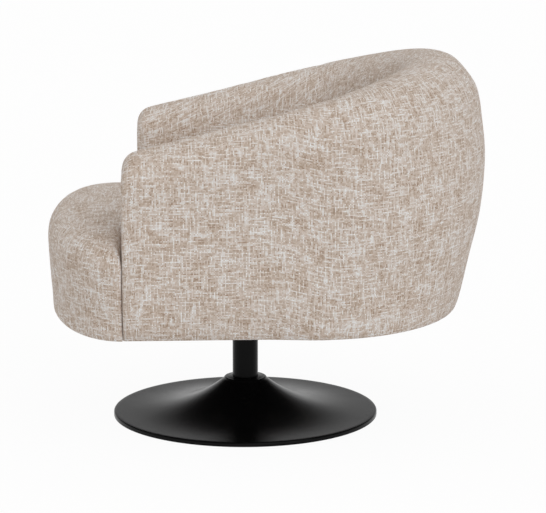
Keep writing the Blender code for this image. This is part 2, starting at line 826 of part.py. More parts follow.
def build_swivel(parent, finish):
    add_object("thrust_race_upper", race_mesh("thrust_race_upper", UPPER_RACE_BOTTOM), finish["steel"], parent)
    groove = SPINDLE_RADIUS - CLIP_DEPTH
    head = PLATE_TOP + GAP
    spindle = turned("spindle", [
        (0, SPINDLE_BOTTOM), (SPINDLE_RADIUS, SPINDLE_BOTTOM),
        (SPINDLE_RADIUS, CLIP_Z - GAP), (groove, CLIP_Z - GAP),
        (groove, WASHER_BOTTOM), (SPINDLE_RADIUS, WASHER_BOTTOM),
        (SPINDLE_RADIUS, head), (SPINDLE_HEAD_RADIUS, head),
        (SPINDLE_HEAD_RADIUS, head + SPINDLE_HEAD), (0, head + SPINDLE_HEAD),
    ])
    add_object("spindle", spindle, finish["steel"], parent)
    bore = SPINDLE_RADIUS + GAP
    washer_rim = COLUMN_RADIUS - COLUMN_WALL - 0.001
    top = WASHER_BOTTOM + WASHER_THICKNESS
    washer = turned("retaining_washer", [
        (bore, WASHER_BOTTOM), (washer_rim, WASHER_BOTTOM), (washer_rim, top), (bore, top),
    ])
    add_object("retaining_washer", washer, finish["steel"], parent)
    add_object("circlip", circlip_mesh(groove + GAP), finish["steel"], parent)
    add_object("swivel_plate", swivel_plate_mesh(), finish["black"], parent)
    bolt = bolt_mesh("plate_bolt", BOLT_RADIUS, BOLT_HEAD_RADIUS, BOLT_HEAD, BOLT_LENGTH, downward=False)
    nut = tee_nut_mesh()
    places = [(CROSS_RAIL_X * i, PLATE_HOLE_Y * j) for i, j in ((1, 1), (-1, 1), (-1, -1), (1, -1))]
    for number, (x, y) in enumerate(places, start=1):
        add_object(f"plate_bolt_{number}", bolt, finish["steel"], parent, (x, y, PLATE_BOTTOM - GAP))
        add_object(f"tee_nut_{number}", nut, finish["steel"], parent, (x, y, CROSS_RAIL_TOP + GAP))


def circlip_mesh(inner):
    start = math.radians(20)
    turns = [mix(start, 2 * math.pi - start, k / 14) for k in range(15)]
    outer = inner + CLIP_WIDTH
    loop = [(outer * math.cos(t), outer * math.sin(t)) for t in turns]
    loop += [(inner * math.cos(t) * 1.006, inner * math.sin(t) * 1.006) for t in reversed(turns)]
    return plate("circlip", [loop], CLIP_Z, CLIP_Z + CLIP_THICKNESS)


def rounded_square(half, corner, steps=3):
    loop = []
    for quarter, (i, j) in enumerate(((1, 1), (-1, 1), (-1, -1), (1, -1))):
        for k in range(steps + 1):
            turn = 0.5 * math.pi * (quarter + k / steps)
            x = i * (half - corner) + corner * math.cos(turn)
            loop.append((x, j * (half - corner) + corner * math.sin(turn)))
    return loop


def swivel_plate_mesh():
    """Square plate with a bored hub under it."""
    hole = BOLT_RADIUS + HOLE_CLEARANCE
    bore = circle(SPINDLE_RADIUS + GAP, steps=TUBE_STEPS)
    holes = [circle(hole, CROSS_RAIL_X * i, PLATE_HOLE_Y * j) for i, j in ((1, 1), (-1, 1), (-1, -1), (1, -1))]
    loops = [rounded_square(PLATE_HALF, PLATE_CORNER), bore] + holes
    mesh = plate("swivel_plate", loops, PLATE_BOTTOM, PLATE_TOP)
    rim = circle(HUB_RADIUS, steps=TUBE_STEPS)
    hub = plate("hub", [rim, bore], HUB_BOTTOM, PLATE_BOTTOM + 0.5 * PLATE_THICKNESS)
    body = add_object("swivel_plate_body", mesh, None, None)
    collar = add_object("swivel_plate_hub", hub, None, None)
    joined = body.modifiers.new("Hub", "BOOLEAN")
    joined.operation = "UNION"
    joined.solver = "EXACT"
    joined.object = collar
    bpy.context.view_layer.update()
    result = bpy.data.meshes.new_from_object(body.evaluated_get(bpy.context.evaluated_depsgraph_get()))
    bpy.data.objects.remove(body, do_unlink=True)
    bpy.data.objects.remove(collar, do_unlink=True)
    result.name = "swivel_plate"
    result.materials.clear()
    return result


def tee_nut_mesh():
    """Flanged threaded insert. The underside of its flange is at the origin."""
    bore = BOLT_RADIUS + GAP
    return turned("tee_nut", [
        (bore, -NUT_BARREL), (NUT_BARREL_RADIUS, -NUT_BARREL), (NUT_BARREL_RADIUS, 0.0),
        (NUT_FLANGE_RADIUS, 0.0), (NUT_FLANGE_RADIUS, NUT_FLANGE), (bore, NUT_FLANGE),
    ], HOLE_STEPS)


# The timber frame

def panel_depth(station):
    return mix(PANEL_DEPTH_ARM, PANEL_DEPTH_BACK, thickening(station))


def band(stations, near, far, bottom, top):
    """Rings of an upright band that follows the wall. The depths and heights are functions of the station."""
    rings = []
    for s in stations:
        low, high = bottom(s), top(s)
        rings.append([
            wall_point(s, near(s), low),
            wall_point(s, far(s), low),
            wall_point(s, far(s), high),
            wall_point(s, near(s), high),
        ])
    return rings


def rail_near(station):
    return panel_depth(station) + 0.5 * PANEL_THICKNESS + GAP


def rail_far(station):
    return rail_near(station) + RAIL_WIDTH


def rail_inner_x(y):
    """The side rail's inner face at this Y, on the straight part of the arm."""
    station = arm_station(y)
    return wall_point(station, rail_far(station), 0.0).x


def flip_ring(ring):
    return [Vector((-p.x, p.y, p.z)) for p in ring]


def prism(name, corners, bottom, top):
    return plate(name, [corners], bottom, top)


def build_frame(parent, finish):
    wood = finish["timber"]
    low = lambda s: RAIL_BOTTOM
    high = lambda s: RAIL_TOP
    split = 5
    stations = half_stations()
    side = [arm_station(SIDE_RAIL_FRONT_Y)] + stations[:split]
    rings = band(side, rail_near, rail_far, low, high)
    add_object("side_rail_left", sweep("side_rail_left", rings), wood, parent)
    other = [flip_ring(ring) for ring in rings]
    add_object("side_rail_right", sweep("side_rail_right", other), wood, parent)
    curve = band(full_stations()[split - 1:len(full_stations()) - split + 1], rail_near, rail_far, low, high)
    step = 0.012
    curve[0] = [a.lerp(b, step) for a, b in zip(curve[0], curve[1])]
    curve[-1] = [a.lerp(b, step) for a, b in zip(curve[-1], curve[-2])]
    add_object("back_rail", sweep("back_rail", curve), wood, parent)

    outer_depth = FOAM_INSET + PAD_THICKNESS + GAP
    inner_depth = outer_depth + FRONT_RAIL_WIDTH
    rail_end = rail_inner_x(SIDE_RAIL_FRONT_Y) - FRONT_RAIL_END
    rings = []
    for near, far in zip(*cut_lines((outer_depth, inner_depth), rail_end)):
        rings.append([
            on_height(near, RAIL_BOTTOM), on_height(far, RAIL_BOTTOM),
            on_height(far, RAIL_TOP), on_height(near, RAIL_TOP),
        ])
    add_object("front_rail", sweep("front_rail", rings), wood, parent)

    def rail_back(x):
        return line_y(front_line(inner_depth), x) + GAP

    spring_rear = SPRING_RAIL_Y + RAIL_WIDTH
    for side, word in ((1, "left"), (-1, "right")):
        near = CROSS_RAIL_X - 0.5 * CROSS_RAIL_WIDTH
        far = CROSS_RAIL_X + 0.5 * CROSS_RAIL_WIDTH
        stop = SPRING_RAIL_Y - GAP
        corners = [(near, rail_back(near)), (far, rail_back(far)), (far, stop), (near, stop)]
        holes = [circle(NUT_BARREL_RADIUS + GAP, CROSS_RAIL_X, PLATE_HOLE_Y * j) for j in (-1, 1)]
        loops = [[(side * x, y) for x, y in loop] for loop in [corners] + holes]
        rail = plate(f"cross_rail_{word}", loops, RAIL_BOTTOM, CROSS_RAIL_TOP)
        add_object(f"cross_rail_{word}", rail, wood, parent)
        front_x = rail_inner_x(SIDE_RAIL_FRONT_Y) - GAP
        rear_x = rail_inner_x(GUSSET_REAR_Y) - GAP
        inside = front_x - GUSSET_WIDTH
        corners = [
            (inside, rail_back(inside)), (front_x, rail_back(front_x)), (front_x, SIDE_RAIL_FRONT_Y),
            (rear_x, GUSSET_REAR_Y), (inside, GUSSET_REAR_Y),
        ]
        gusset = prism(f"gusset_{word}", [(side * x, y) for x, y in corners], RAIL_BOTTOM, RAIL_TOP)
        add_object(f"gusset_{word}", gusset, wood, parent)

    end = rail_x_at(spring_rear) - 2 * GAP
    corners = [(-end, SPRING_RAIL_Y), (end, SPRING_RAIL_Y), (end, spring_rear), (-end, spring_rear)]
    add_object("spring_rail", prism("spring_rail", corners, RAIL_BOTTOM, RAIL_TOP), wood, parent)

    panel_low = lambda s: RAIL_BOTTOM
    panel_high = lambda s: crest_height(s) - PANEL_TOP_DROP
    near = lambda s: panel_depth(s) - 0.5 * PANEL_THICKNESS
    far = lambda s: panel_depth(s) + 0.5 * PANEL_THICKNESS
    tip = arm_station(ARM_FRONT_Y + FOAM_INSET + 0.004)
    stations = [tip] + full_stations() + [mirrored(tip)]
    add_object("tub_shell", sweep("tub_shell", band(stations, near, far, panel_low, panel_high)),
               finish["plywood"], parent)


def rail_x_at(y):
    """Inner face of the bottom rails at this Y, on their faceted line."""
    spots = [wall_point(s, rail_far(s), 0.0) for s in half_stations()]
    for near, far in zip(spots, spots[1:]):
        if near.y <= y <= far.y:
            return mix(near.x, far.x, (y - near.y) / (far.y - near.y))
    return spots[-1].x


def spring_places():
    """X of the four springs, evenly spaced between the wall's inner sides."""
    line = [wall_point(s, wall_depth(s), 0.0) for s in half_stations()]
    rear = SPRING_REAR_Y + SPRING_STAGGER
    near, far = next((a, b) for a, b in zip(line, line[1:]) if a.y <= rear <= b.y)
    side = mix(near.x, far.x, (rear - near.y) / (far.y - near.y))
    outer = side - SPRING_SIDE_CLEARANCE - SPRING_SWING - SPRING_WIRE_RADIUS
    return (outer, outer / 3.0, -outer / 3.0, -outer)


def spring_mesh(name):
    """Sinuous spring: a wire that swings from side to side in steps from front to rear."""
    rail_depth = FOAM_INSET + PAD_THICKNESS + GAP + 0.5 * FRONT_RAIL_WIDTH
    start = line_y(front_line(rail_depth), spring_places()[1])
    stop = SPRING_REAR_Y
    pitch = (stop - start) / SPRING_HALF_WAVES
    points = []
    for k in range(SPRING_HALF_WAVES):
        way = 1.0 if k % 2 == 0 else -1.0
        y = start + pitch * (k + 0.5)
        points.append((way * SPRING_SWING, y - 0.32 * pitch, 0.0))
        points.append((way * SPRING_SWING, y + 0.32 * pitch, 0.0))
    curve = bpy.data.curves.new(name, "CURVE")
    curve.dimensions = "3D"
    curve.bevel_depth = SPRING_WIRE_RADIUS
    curve.bevel_resolution = 0
    curve.use_fill_caps = True
    line = curve.splines.new("POLY")
    line.points.add(len(points) - 1)
    for spot, (x, y, z) in zip(line.points, points):
        spot.co = (x, y, z, 1.0)
    return curve


def build_springs(parent, finish):
    curve = spring_mesh("seat_spring")
    for number, x in enumerate(spring_places(), start=1):
        stagger = SPRING_STAGGER if number in (1, 4) else 0.0
        add_object(f"seat_spring_{number}", curve, finish["steel"], parent, (x, stagger, SPRING_Z))


# Upholstery

def slot_points(station, forward, foam_top):
    """The foam's slot for the plywood panel, from its inner lower edge round to its outer one."""
    near = panel_depth(station) - 0.5 * PANEL_THICKNESS - GAP
    far = panel_depth(station) + 0.5 * PANEL_THICKNESS + GAP
    spots = [(far, INNER_COVER_BOTTOM + FOAM_INSET), (far, foam_top), (near, foam_top),
             (near, BODY_BOTTOM + FOAM_INSET)]
    points = [wall_point(station, depth, height) for depth, height in spots]
    if forward is not None:
        points = [Vector((p.x, forward, p.z)) for p in points]
    return points


def build_tub(parent, finish):
    rings = wall_rings()
    count = len(rings[0])
    grid = [point for ring in rings for point in ring]
    foot = wall_point(arm_station(ARM_FRONT_Y), FRONT_FOOT_DEPTH, INNER_COVER_BOTTOM)
    foot.y = ARM_FRONT_Y
    faces = wall_faces(len(rings), count, len(grid))
    bm = sheet_mesh(grid + [foot, Vector((-foot.x, foot.y, foot.z))], faces)
    cover = add_object("tub_cover", skin("tub_cover", bm), finish["tweed"], parent)
    thicken(cover)
    inner = inset_points(bm, FOAM_INSET)
    bm.free()

    fronts = len(FRONT_TURNS)
    middle = full_stations()
    polygons = []
    for number in range(len(rings)):
        ring = inner[number * count:(number + 1) * count]
        if number in (0, len(rings) - 1):
            ring = [Vector((p.x, ARM_FRONT_Y + FOAM_INSET, p.z)) for p in ring]
        ring[0] = on_height(ring[0], BODY_BOTTOM + FOAM_INSET)
        ring[-1] = on_height(ring[-1], INNER_COVER_BOTTOM + FOAM_INSET)
        at_front = number < fronts or number >= fronts + len(middle)
        forward = ring[-1].y if at_front else None
        station = arm_station(forward) if at_front else middle[number - fronts]
        if at_front and ring[0].x < 0.0:
            station = mirrored(station)
        top = crest_height(station) - PANEL_TOP_DROP + 3 * GAP
        polygons.append(ring + slot_points(station, forward, top))

    split = fronts + 4
    last = len(polygons) - 1
    left = polygons[:split + 1]
    left[-1] = [a.lerp(b, 0.01) for a, b in zip(left[-1], left[-2])]
    back = polygons[split:last - split + 1]
    right = polygons[last - split:]
    right[0] = [a.lerp(b, 0.01) for a, b in zip(right[0], right[1])]
    add_object("arm_foam_left", sweep("arm_foam_left", left), finish["foam"], parent)
    add_object("arm_foam_right", sweep("arm_foam_right", right), finish["foam"], parent)
    add_object("back_foam", sweep("back_foam", back), finish["foam"], parent)


def build_seat(parent, finish):
    grid, faces, count = seat_sheet()
    bm = sheet_mesh(grid, faces)
    cover = add_object("seat_cover", skin("seat_cover", bm), finish["tweed"], parent)
    thicken(cover)
    inner = inset_points(bm, FOAM_INSET)
    bm.free()

    side_rows = len(SIDE_ROWS)
    for k in range(count):
        place = side_rows * count + k
        inner[place] = on_height(inner[place], SEAT_FOAM_BOTTOM)
    shift = side_rows * count
    foam = sheet_mesh(inner[shift:], [[k - shift for k in f] for f in faces if min(f) >= shift])
    foam.verts.ensure_lookup_table()
    foam.faces.new([foam.verts[k] for k in range(count)])
    add_object("seat_foam", to_mesh("seat_foam", foam, 35), finish["foam"], parent)

    rings = []
    for k in range(-FRONT_STEPS, FRONT_STEPS + 1):
        outer = [inner[row * count + k % count] for row in range(side_rows + 1)]
        turn = 0.5 * math.pi * (1.0 - k / FRONT_STEPS)
        behind = front_curve(turn, FOAM_INSET + PAD_THICKNESS)
        top = SEAT_FOAM_BOTTOM - GAP
        low = BODY_BOTTOM + FOAM_INSET
        if abs(k) == FRONT_STEPS:
            end = SHOULDER_Y - FOAM_INSET - GAP
            behind.y = end
            outer = [Vector((p.x - math.copysign(PAD_END_INSET, p.x), end, p.z)) for p in outer]
        rings.append([
            on_height(outer[0], low), outer[1], on_height(outer[2], top),
            on_height(behind, top), on_height(behind, low),
        ])
    for end, before in ((0, 1), (-1, -2)):
        rings[end] = [a.lerp(b, PAD_END_SHARE) for a, b in zip(rings[end], rings[before])]
    add_object("front_pad", sweep("front_pad", rings), finish["foam"], parent)


def build_dust_cover(parent, finish):
    front = []
    depth = FOAM_INSET + PAD_THICKNESS + 2 * GAP
    for k in range(-FRONT_STEPS, FRONT_STEPS + 1):
        spot = front_curve(0.5 * math.pi * (1.0 - k / FRONT_STEPS), depth)
        spot.y = min(spot.y, SHOULDER_Y - 3 * GAP)
        front.append(spot)
    tip = arm_station(ARM_FRONT_Y)
    wall = []
    for station in [tip] + full_stations() + [mirrored(tip)]:
        wall.append(wall_point(station, panel_depth(station) - 0.5 * PANEL_THICKNESS + GAP, 0.0))
    loop = [(p.x, p.y) for p in front] + [(p.x, p.y) for p in wall]
    opening = rounded_square(PLATE_OPENING, PLATE_CORNER)
    top = RAIL_BOTTOM - GAP
    cloth = plate("dust_cover", [loop, opening], top - CLOTH_THICKNESS, top)
    add_object("dust_cover", cloth, finish["cambric"], parent)


def main():
    clear_scene()
    finish = {
        "tweed": material("beige_tweed", (0.52, 0.44, 0.37), 0.90),
        "foam": material("upholstery_foam", (0.80, 0.76, 0.62), 0.95),
        "plywood": material("bent_plywood", (0.55, 0.38, 0.22), 0.60),
        "timber": material("frame_timber", (0.50, 0.34, 0.19), 0.65),
        "cambric": material("black_cambric", (0.015, 0.015, 0.016), 0.95),
        "black": material("satin_black_steel", (0.006, 0.006, 0.006), 0.35, 0.0),
        "steel": material("bright_steel", (0.55, 0.55, 0.56), 0.30, 1.0),
        "nylon": material("natural_nylon", (0.70, 0.69, 0.64), 0.45),
        "felt": material("grey_felt", (0.08, 0.08, 0.08), 0.95),
    }
    base = empty("base_frame")
    seat = empty("swivel_axis")
    build_base(base, finish)
    build_cage(base, finish)
    build_swivel(seat, finish)
    build_frame(seat, finish)
    build_springs(seat, finish)
    build_tub(seat, finish)
    build_seat(seat, finish)
    build_dust_cover(seat, finish)


main()
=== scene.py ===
"""Looks for the swivel tub armchair: tweed upholstery, satin black base, studio floor and light."""

import math

import bmesh
import bpy
import numpy as np
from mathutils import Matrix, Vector
from mathutils.geometry import delaunay_2d_cdt

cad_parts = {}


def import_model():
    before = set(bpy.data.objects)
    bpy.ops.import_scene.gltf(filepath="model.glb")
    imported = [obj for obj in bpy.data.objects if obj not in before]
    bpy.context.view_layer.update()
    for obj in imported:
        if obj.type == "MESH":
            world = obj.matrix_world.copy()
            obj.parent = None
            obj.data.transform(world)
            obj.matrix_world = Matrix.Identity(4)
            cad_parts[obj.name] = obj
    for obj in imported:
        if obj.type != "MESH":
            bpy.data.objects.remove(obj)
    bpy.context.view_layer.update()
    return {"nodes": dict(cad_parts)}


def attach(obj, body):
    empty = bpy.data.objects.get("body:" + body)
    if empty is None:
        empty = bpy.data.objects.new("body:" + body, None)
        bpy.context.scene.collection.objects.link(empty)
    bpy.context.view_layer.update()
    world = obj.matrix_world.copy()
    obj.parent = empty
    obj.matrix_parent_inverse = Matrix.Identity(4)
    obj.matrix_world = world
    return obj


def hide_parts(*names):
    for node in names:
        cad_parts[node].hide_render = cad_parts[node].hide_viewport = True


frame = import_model()
nodes = frame["nodes"]

# The padded wall in metres, as in the CAD model, but for BACK_RISE, PANEL_TOP_DROP and finer back lines
ARM_FRONT_Y = -0.2215
HALF_WIDTH = 0.380
TOE_IN = 0.10
CORNER_START_Y = 0.160
BACK_Y = 0.4665
ARM_THICKNESS = 0.125
ARM_TOP_ROUND = 0.050
ARM_INNER_DROP = 0.005
INNER_CORNER_Y = 0.020
BACK_THICKNESS = 0.245
BACK_TOP_ROUND = 0.068
CREST_DEPTH = 0.105
BODY_BOTTOM = 0.2280
ARM_FRONT_TOP = 0.5590
BACK_TOP = 0.7155
BACK_RISE = 0.003
BACK_RISE_FROM, BACK_RISE_TO = 0.75, 1.05
ARM_FRONT_RISE = 0.005
ARM_FRONT_RISE_SHARE, ARM_FRONT_RISE_POWER = 0.3, 1.5
SEAT_LEVEL = 0.4525
INNER_BOTTOM = 0.2975
PANEL_HALF = 0.0066
PANEL_DEPTH_ARM = 0.040
PANEL_DEPTH_BACK = 0.076
PANEL_TOP_DROP = 0.0535

# Depths of the outer face from the foot to the shoulder, then depths and heights over the top to the inside
OUTER_LEVELS = (0.0, 0.09, 0.24, 0.45, 0.70, 0.85, 1.0)
OUTER_ARM = (0.020, 0.009, 0.003, 0.0, 0.0, 0.0, 0.0)
OUTER_BACK = (0.0535, 0.0440, 0.0298, 0.0095, 0.0012, 0.0070, 0.0180)
CORNER_FULLNESS = 0.024
TOP_BACK = ((0.035, -0.040), (0.0605, -0.0130), (0.084, -0.0022), (0.105, 0.0), (0.130, -0.003),
            (0.152, -0.018), (0.166, -0.048))
INNER_BACK_DEPTH, INNER_BACK_DROP = 0.174, -0.085
INNER_MIDDLE_DEPTH = 0.210

# The hem: turned under at the wall's lower edge and up to the dust cover
EDGE_ROUND = 0.006
HEM_HEIGHT = 0.2345
HEM_TURNS = (90, 55, 25)
HEM_FLAT, HEM_LIFT, HEM_SAG = 0.004, 0.0006, 0.0001
HEM_GAP = 0.0003
HEM_STEP, HEM_STEP_HEIGHT = 0.0008, 0.2306

# Steps between the section's points, and where its inner face starts
SPANS = (5, 8, 11, 14, 9, 9, 5, 5, 4, 4, 4, 4, 4, 5, 8, 8, 10)
INNER_SPAN = 14
HEM_POINTS = 7
SKIPPED = 2
SKIN_POINTS = HEM_POINTS + sum(SPANS) + 1 - SKIPPED
INSIDE_FROM = HEM_POINTS + sum(SPANS[:INNER_SPAN]) - SKIPPED
LINED_FROM = INSIDE_FROM - 8

# The rounded arm front, and the rings of half the wall
FRONT_STEPS = 8
FRONT_FULLNESS = 0.85
FRONT_REACH = 0.030
FRONT_RADII = (0.008, 0.026, 0.026, 0.020)
FRONT_RADIUS_PLACES = (0.35, 0.50, 0.65, 0.75)
CLOSED_SLOT = np.array([(0.050, INNER_BOTTOM), (0.050, HEM_HEIGHT), (0.045, HEM_HEIGHT)])
PANEL_TIP_Y = -0.2160
PANEL_TIP_GAP = 0.0003
LEAN_REACH, LEAN_END_Y = 0.026, -0.12
ARM_RINGS, CORNER_RINGS = 45, 60
HALVINGS, FINE = 30, 600

RIB_WIDTH = 0.018
GRID_STEP, GRID_ROW = 0.009, 0.866
CHUNK = 2000
HIDDEN_MARKS = [(0.0, 0.0), (0.01, 0.0), (0.01, 0.01), (0.0, 0.01)]
TUB_MARGIN = 0.005


def mix(a, b, share):
    return a + (b - a) * share


def smooth(low, high, value):
    """Smooth step from 0 at low to 1 at high, for a number or an array."""
    share = np.clip((value - low) / (high - low), 0.0, 1.0)
    return share * share * (3.0 - 2.0 * share)


def lengths(points):
    """Running length of a line at each of its points."""
    return np.concatenate([[0.0], np.cumsum(np.linalg.norm(np.diff(points, axis=0), axis=1))])


# The padded wall. A station is a place on its outer outline with the normal there.

def taper(y):
    return 1.0 - TOE_IN * (y - ARM_FRONT_Y)


def arm_station(y):
    return Vector((HALF_WIDTH * taper(y), y)), Vector((1.0, HALF_WIDTH * TOE_IN)).normalized()


def back_station(angle):
    depth = BACK_Y - CORNER_START_Y
    y = CORNER_START_Y + depth * math.sin(angle)
    rise = depth * math.cos(angle)
    run = -HALF_WIDTH * (taper(y) * math.sin(angle) + TOE_IN * rise * math.cos(angle))
    return Vector((HALF_WIDTH * taper(y) * math.cos(angle), y)), Vector((rise, -run)).normalized()


def even_turns(count):
    """Angles that divide the back corner's outline into equal lengths."""
    fine = np.linspace(0.0, 0.5 * math.pi, FINE)
    length = lengths(np.array([back_station(a)[0] for a in fine]))
    return np.interp(np.linspace(0.0, length[-1], count + 1)[1:], length, fine)


STATIONS = [arm_station(y) for y in np.linspace(ARM_FRONT_Y + FRONT_REACH, CORNER_START_Y, ARM_RINGS)]
STATIONS += [back_station(turn) for turn in even_turns(CORNER_RINGS)]


def wall_depth(station):
    """Thickness of the wall at a station, found by halving."""
    point, normal = station
    depth = BACK_Y - BACK_THICKNESS - INNER_CORNER_Y
    low, high = 0.0, 2 * BACK_THICKNESS
    for _ in range(HALVINGS):
        middle = (low + high) / 2
        spot = point - normal * middle
        across = spot.x / (HALF_WIDTH * taper(spot.y) - ARM_THICKNESS)
        along = max(0.0, spot.y - INNER_CORNER_Y) / depth
        if across * across + along * along > 1.0:
            low = middle
        else:
            high = middle
    return high


def crest_height(station, share):
    point, normal = station
    crest_y = point.y - normal.y * mix(0.5 * ARM_THICKNESS, CREST_DEPTH, share)
    along = (crest_y - ARM_FRONT_Y) / (BACK_Y - CREST_DEPTH - ARM_FRONT_Y)
    rise = smooth(BACK_RISE_FROM, BACK_RISE_TO, along)
    front_rise = max(0.0, 1.0 - along / ARM_FRONT_RISE_SHARE) ** ARM_FRONT_RISE_POWER
    return mix(ARM_FRONT_TOP, BACK_TOP, along) + BACK_RISE * rise + ARM_FRONT_RISE * front_rise


def wall_section(station):
    """The skin's points as depth and height from its foot, the wall's share of the back and its crest."""
    depth = wall_depth(station)
    share = (depth - ARM_THICKNESS) / (BACK_THICKNESS - ARM_THICKNESS)
    crest = crest_height(station, share)
    half = 0.5 * ARM_THICKNESS
    shoulder = crest - mix(ARM_TOP_ROUND, BACK_TOP_ROUND, share)
    fuller = CORNER_FULLNESS * 4.0 * share * (1.0 - share)
    points = []
    for level, arm, back in zip(OUTER_LEVELS, OUTER_ARM, OUTER_BACK):
        points.append((max(0.0, mix(arm, back, share) - fuller * (1.0 - level) ** 2),
                       mix(BODY_BOTTOM, shoulder, level)))
    for k, (back_depth, back_drop) in enumerate(TOP_BACK):
        turn = math.pi * (k + 1) / (len(TOP_BACK) + 1)
        arm_depth = half - half * math.cos(turn)
        arm_drop = ARM_TOP_ROUND * (math.sin(turn) - 1.0)
        points.append((mix(arm_depth, back_depth, share), crest + mix(arm_drop, back_drop, share)))
    top = crest + mix(-ARM_TOP_ROUND - ARM_INNER_DROP, INNER_BACK_DROP, share)
    points.append((mix(ARM_THICKNESS, INNER_BACK_DEPTH, share), top))
    points.append((mix(ARM_THICKNESS, INNER_MIDDLE_DEPTH, share), 0.5 * (top + SEAT_LEVEL)))
    points.append((depth, SEAT_LEVEL))
    points.append((depth, INNER_BOTTOM))
    return points, share, crest


def spline(points, counts):
    """Centripetal curve through the points, with this many steps in each span."""
    p = [np.array(q, float) for q in points]
    p = [2 * p[0] - p[1]] + p + [2 * p[-1] - p[-2]]
    made = []
    for k, count in enumerate(counts):
        a, b, c, d = p[k:k + 4]
        t0 = 0.0
        t1 = t0 + math.sqrt(np.linalg.norm(b - a))
        t2 = t1 + math.sqrt(np.linalg.norm(c - b))
        t3 = t2 + math.sqrt(np.linalg.norm(d - c))
        for j in range(count):
            t = mix(t1, t2, j / count)
            ab = (t1 - t) / (t1 - t0) * a + (t - t0) / (t1 - t0) * b
            bc = (t2 - t) / (t2 - t1) * b + (t - t1) / (t2 - t1) * c
            cd = (t3 - t) / (t3 - t2) * c + (t - t2) / (t3 - t2) * d
            abc = (t2 - t) / (t2 - t0) * ab + (t - t0) / (t2 - t0) * bc
            bcd = (t3 - t) / (t3 - t1) * bc + (t - t1) / (t3 - t1) * cd
            made.append((t2 - t) / (t2 - t1) * abc + (t - t1) / (t2 - t1) * bcd)
    made.append(np.array(points[-1], float))
    return made


def hem(first, near):
    """The skin turned under the body's lower edge, up to the dust cover."""
    d, z = first
    arc = [(d + EDGE_ROUND * (1.0 - math.cos(t)), z + EDGE_ROUND * (1.0 - math.sin(t)))
           for t in map(math.radians, HEM_TURNS)]
    flat = near - HEM_FLAT
    return [(near - HEM_GAP, HEM_HEIGHT), (near - HEM_STEP, HEM_STEP_HEIGHT), (flat, z + HEM_LIFT),
            (mix(d + EDGE_ROUND, flat, 0.5), z + HEM_SAG)] + arc


def skin_ring(station):
    """The skin's section as depths and heights, and the corners of its slot for the plywood panel."""
    points, share, crest = wall_section(station)
    panel = mix(PANEL_DEPTH_ARM, PANEL_DEPTH_BACK, share)
    skin = np.array(hem(points[0], panel - PANEL_HALF) + spline(points, SPANS)[SKIPPED:])
    slot = np.array([(panel + PANEL_HALF, INNER_BOTTOM), (panel + PANEL_HALF, crest - PANEL_TOP_DROP),
                     (panel - PANEL_HALF, crest - PANEL_TOP_DROP)])
    return skin, slot


def placed(station, section, lean=1.0):
    """Points of a section where the wall has this station. Lean 0 keeps them at the station's own Y."""
    point, normal = station
    return np.column_stack([point.x - normal.x * section[:, 0],
                            point.y - lean * normal.y * section[:, 0], section[:, 1]])


def front_radii():
    """The arm front's edge radius at each point of the skin's section."""
    places = np.concatenate([k + np.arange(n) / n for k, n in enumerate(SPANS)] + [[len(SPANS)]])[SKIPPED:]
    places = np.concatenate([np.zeros(HEM_POINTS), places]) / len(SPANS)
    return np.interp(places, FRONT_RADIUS_PLACES, FRONT_RADII)


def front_rings():
    """The rounded arm front, from its flat face back to where the sides begin."""
    near, _ = skin_ring(arm_station(ARM_FRONT_Y))
    far, slot = skin_ring(arm_station(ARM_FRONT_Y + FRONT_REACH))
    radii = front_radii()
    along = np.gradient(near, axis=0)
    along /= np.linalg.norm(along, axis=1)[:, None]
    inward = np.column_stack([along[:, 1], -along[:, 0]])
    inward[-1] = (-1.0, 0.0)
    edge = near[0, 0]
    across = arm_station(ARM_FRONT_Y)[1].x
    rings = []
    for step in range(FRONT_STEPS + 1):
        turn = 0.5 * math.pi * (1.0 - step / FRONT_STEPS)
        y = ARM_FRONT_Y + radii * (1.0 - math.sin(turn) ** FRONT_FULLNESS)
        drawn = radii * (1.0 - max(0.0, math.cos(turn)) ** FRONT_FULLNESS)
        section = near + (far - near) * ((y - ARM_FRONT_Y) / FRONT_REACH)[:, None]
        section[HEM_POINTS:] += (inward * drawn[:, None])[HEM_POINTS:]
        room = 1.0 - drawn[0] / (edge - OUTER_ARM[0])
        section[:HEM_POINTS, 0] = edge - (edge - section[:HEM_POINTS, 0]) * room
        ring = np.column_stack([HALF_WIDTH * taper(y) - across * section[:, 0], y, section[:, 1]])
        opened = step >= FRONT_STEPS - 1
        slot_y = PANEL_TIP_Y if opened else min(y[0], PANEL_TIP_Y - PANEL_TIP_GAP)
        hole = placed(arm_station(slot_y), slot if opened else CLOSED_SLOT, 0.0)
        rings.append(np.vstack([ring, hole]))
    return rings


def wall_rings():
    """Rings of half the wall with the weave's two running lengths at each point, outside and inside."""
    fronts = front_rings()
    rings, sections, outer, inner = [], [], [], []
    for station in STATIONS:
        skin, slot = skin_ring(station)
        lean = smooth(ARM_FRONT_Y + LEAN_REACH, LEAN_END_Y, station[0].y)
        rings.append(np.vstack([placed(station, skin, lean), placed(station, slot, lean)]))
        sections.append(lengths(skin))
        outer.append(station[0])
        inner.append(rings[-1][SKIN_POINTS - 1, :2])
    outer, inner = lengths(np.array(outer)), lengths(np.array(inner))
    weave = []
    for ring, length, out, within in zip(rings, sections, outer, inner):
        weave.append(np.column_stack([np.full(SKIN_POINTS, out), length,
                                      np.full(SKIN_POINTS, within), ring[:SKIN_POINTS, 2]]))
    later = rings[0][:SKIN_POINTS]
    last = weave[0]
    for ring in reversed(fronts):
        gap = np.linalg.norm(ring[:SKIN_POINTS] - later, axis=1)
        last = last.copy()
        last[:, 0] -= gap
        last[:, 2] -= gap
        later = ring[:SKIN_POINTS]
        weave.insert(0, last)
    return fronts + rings, weave


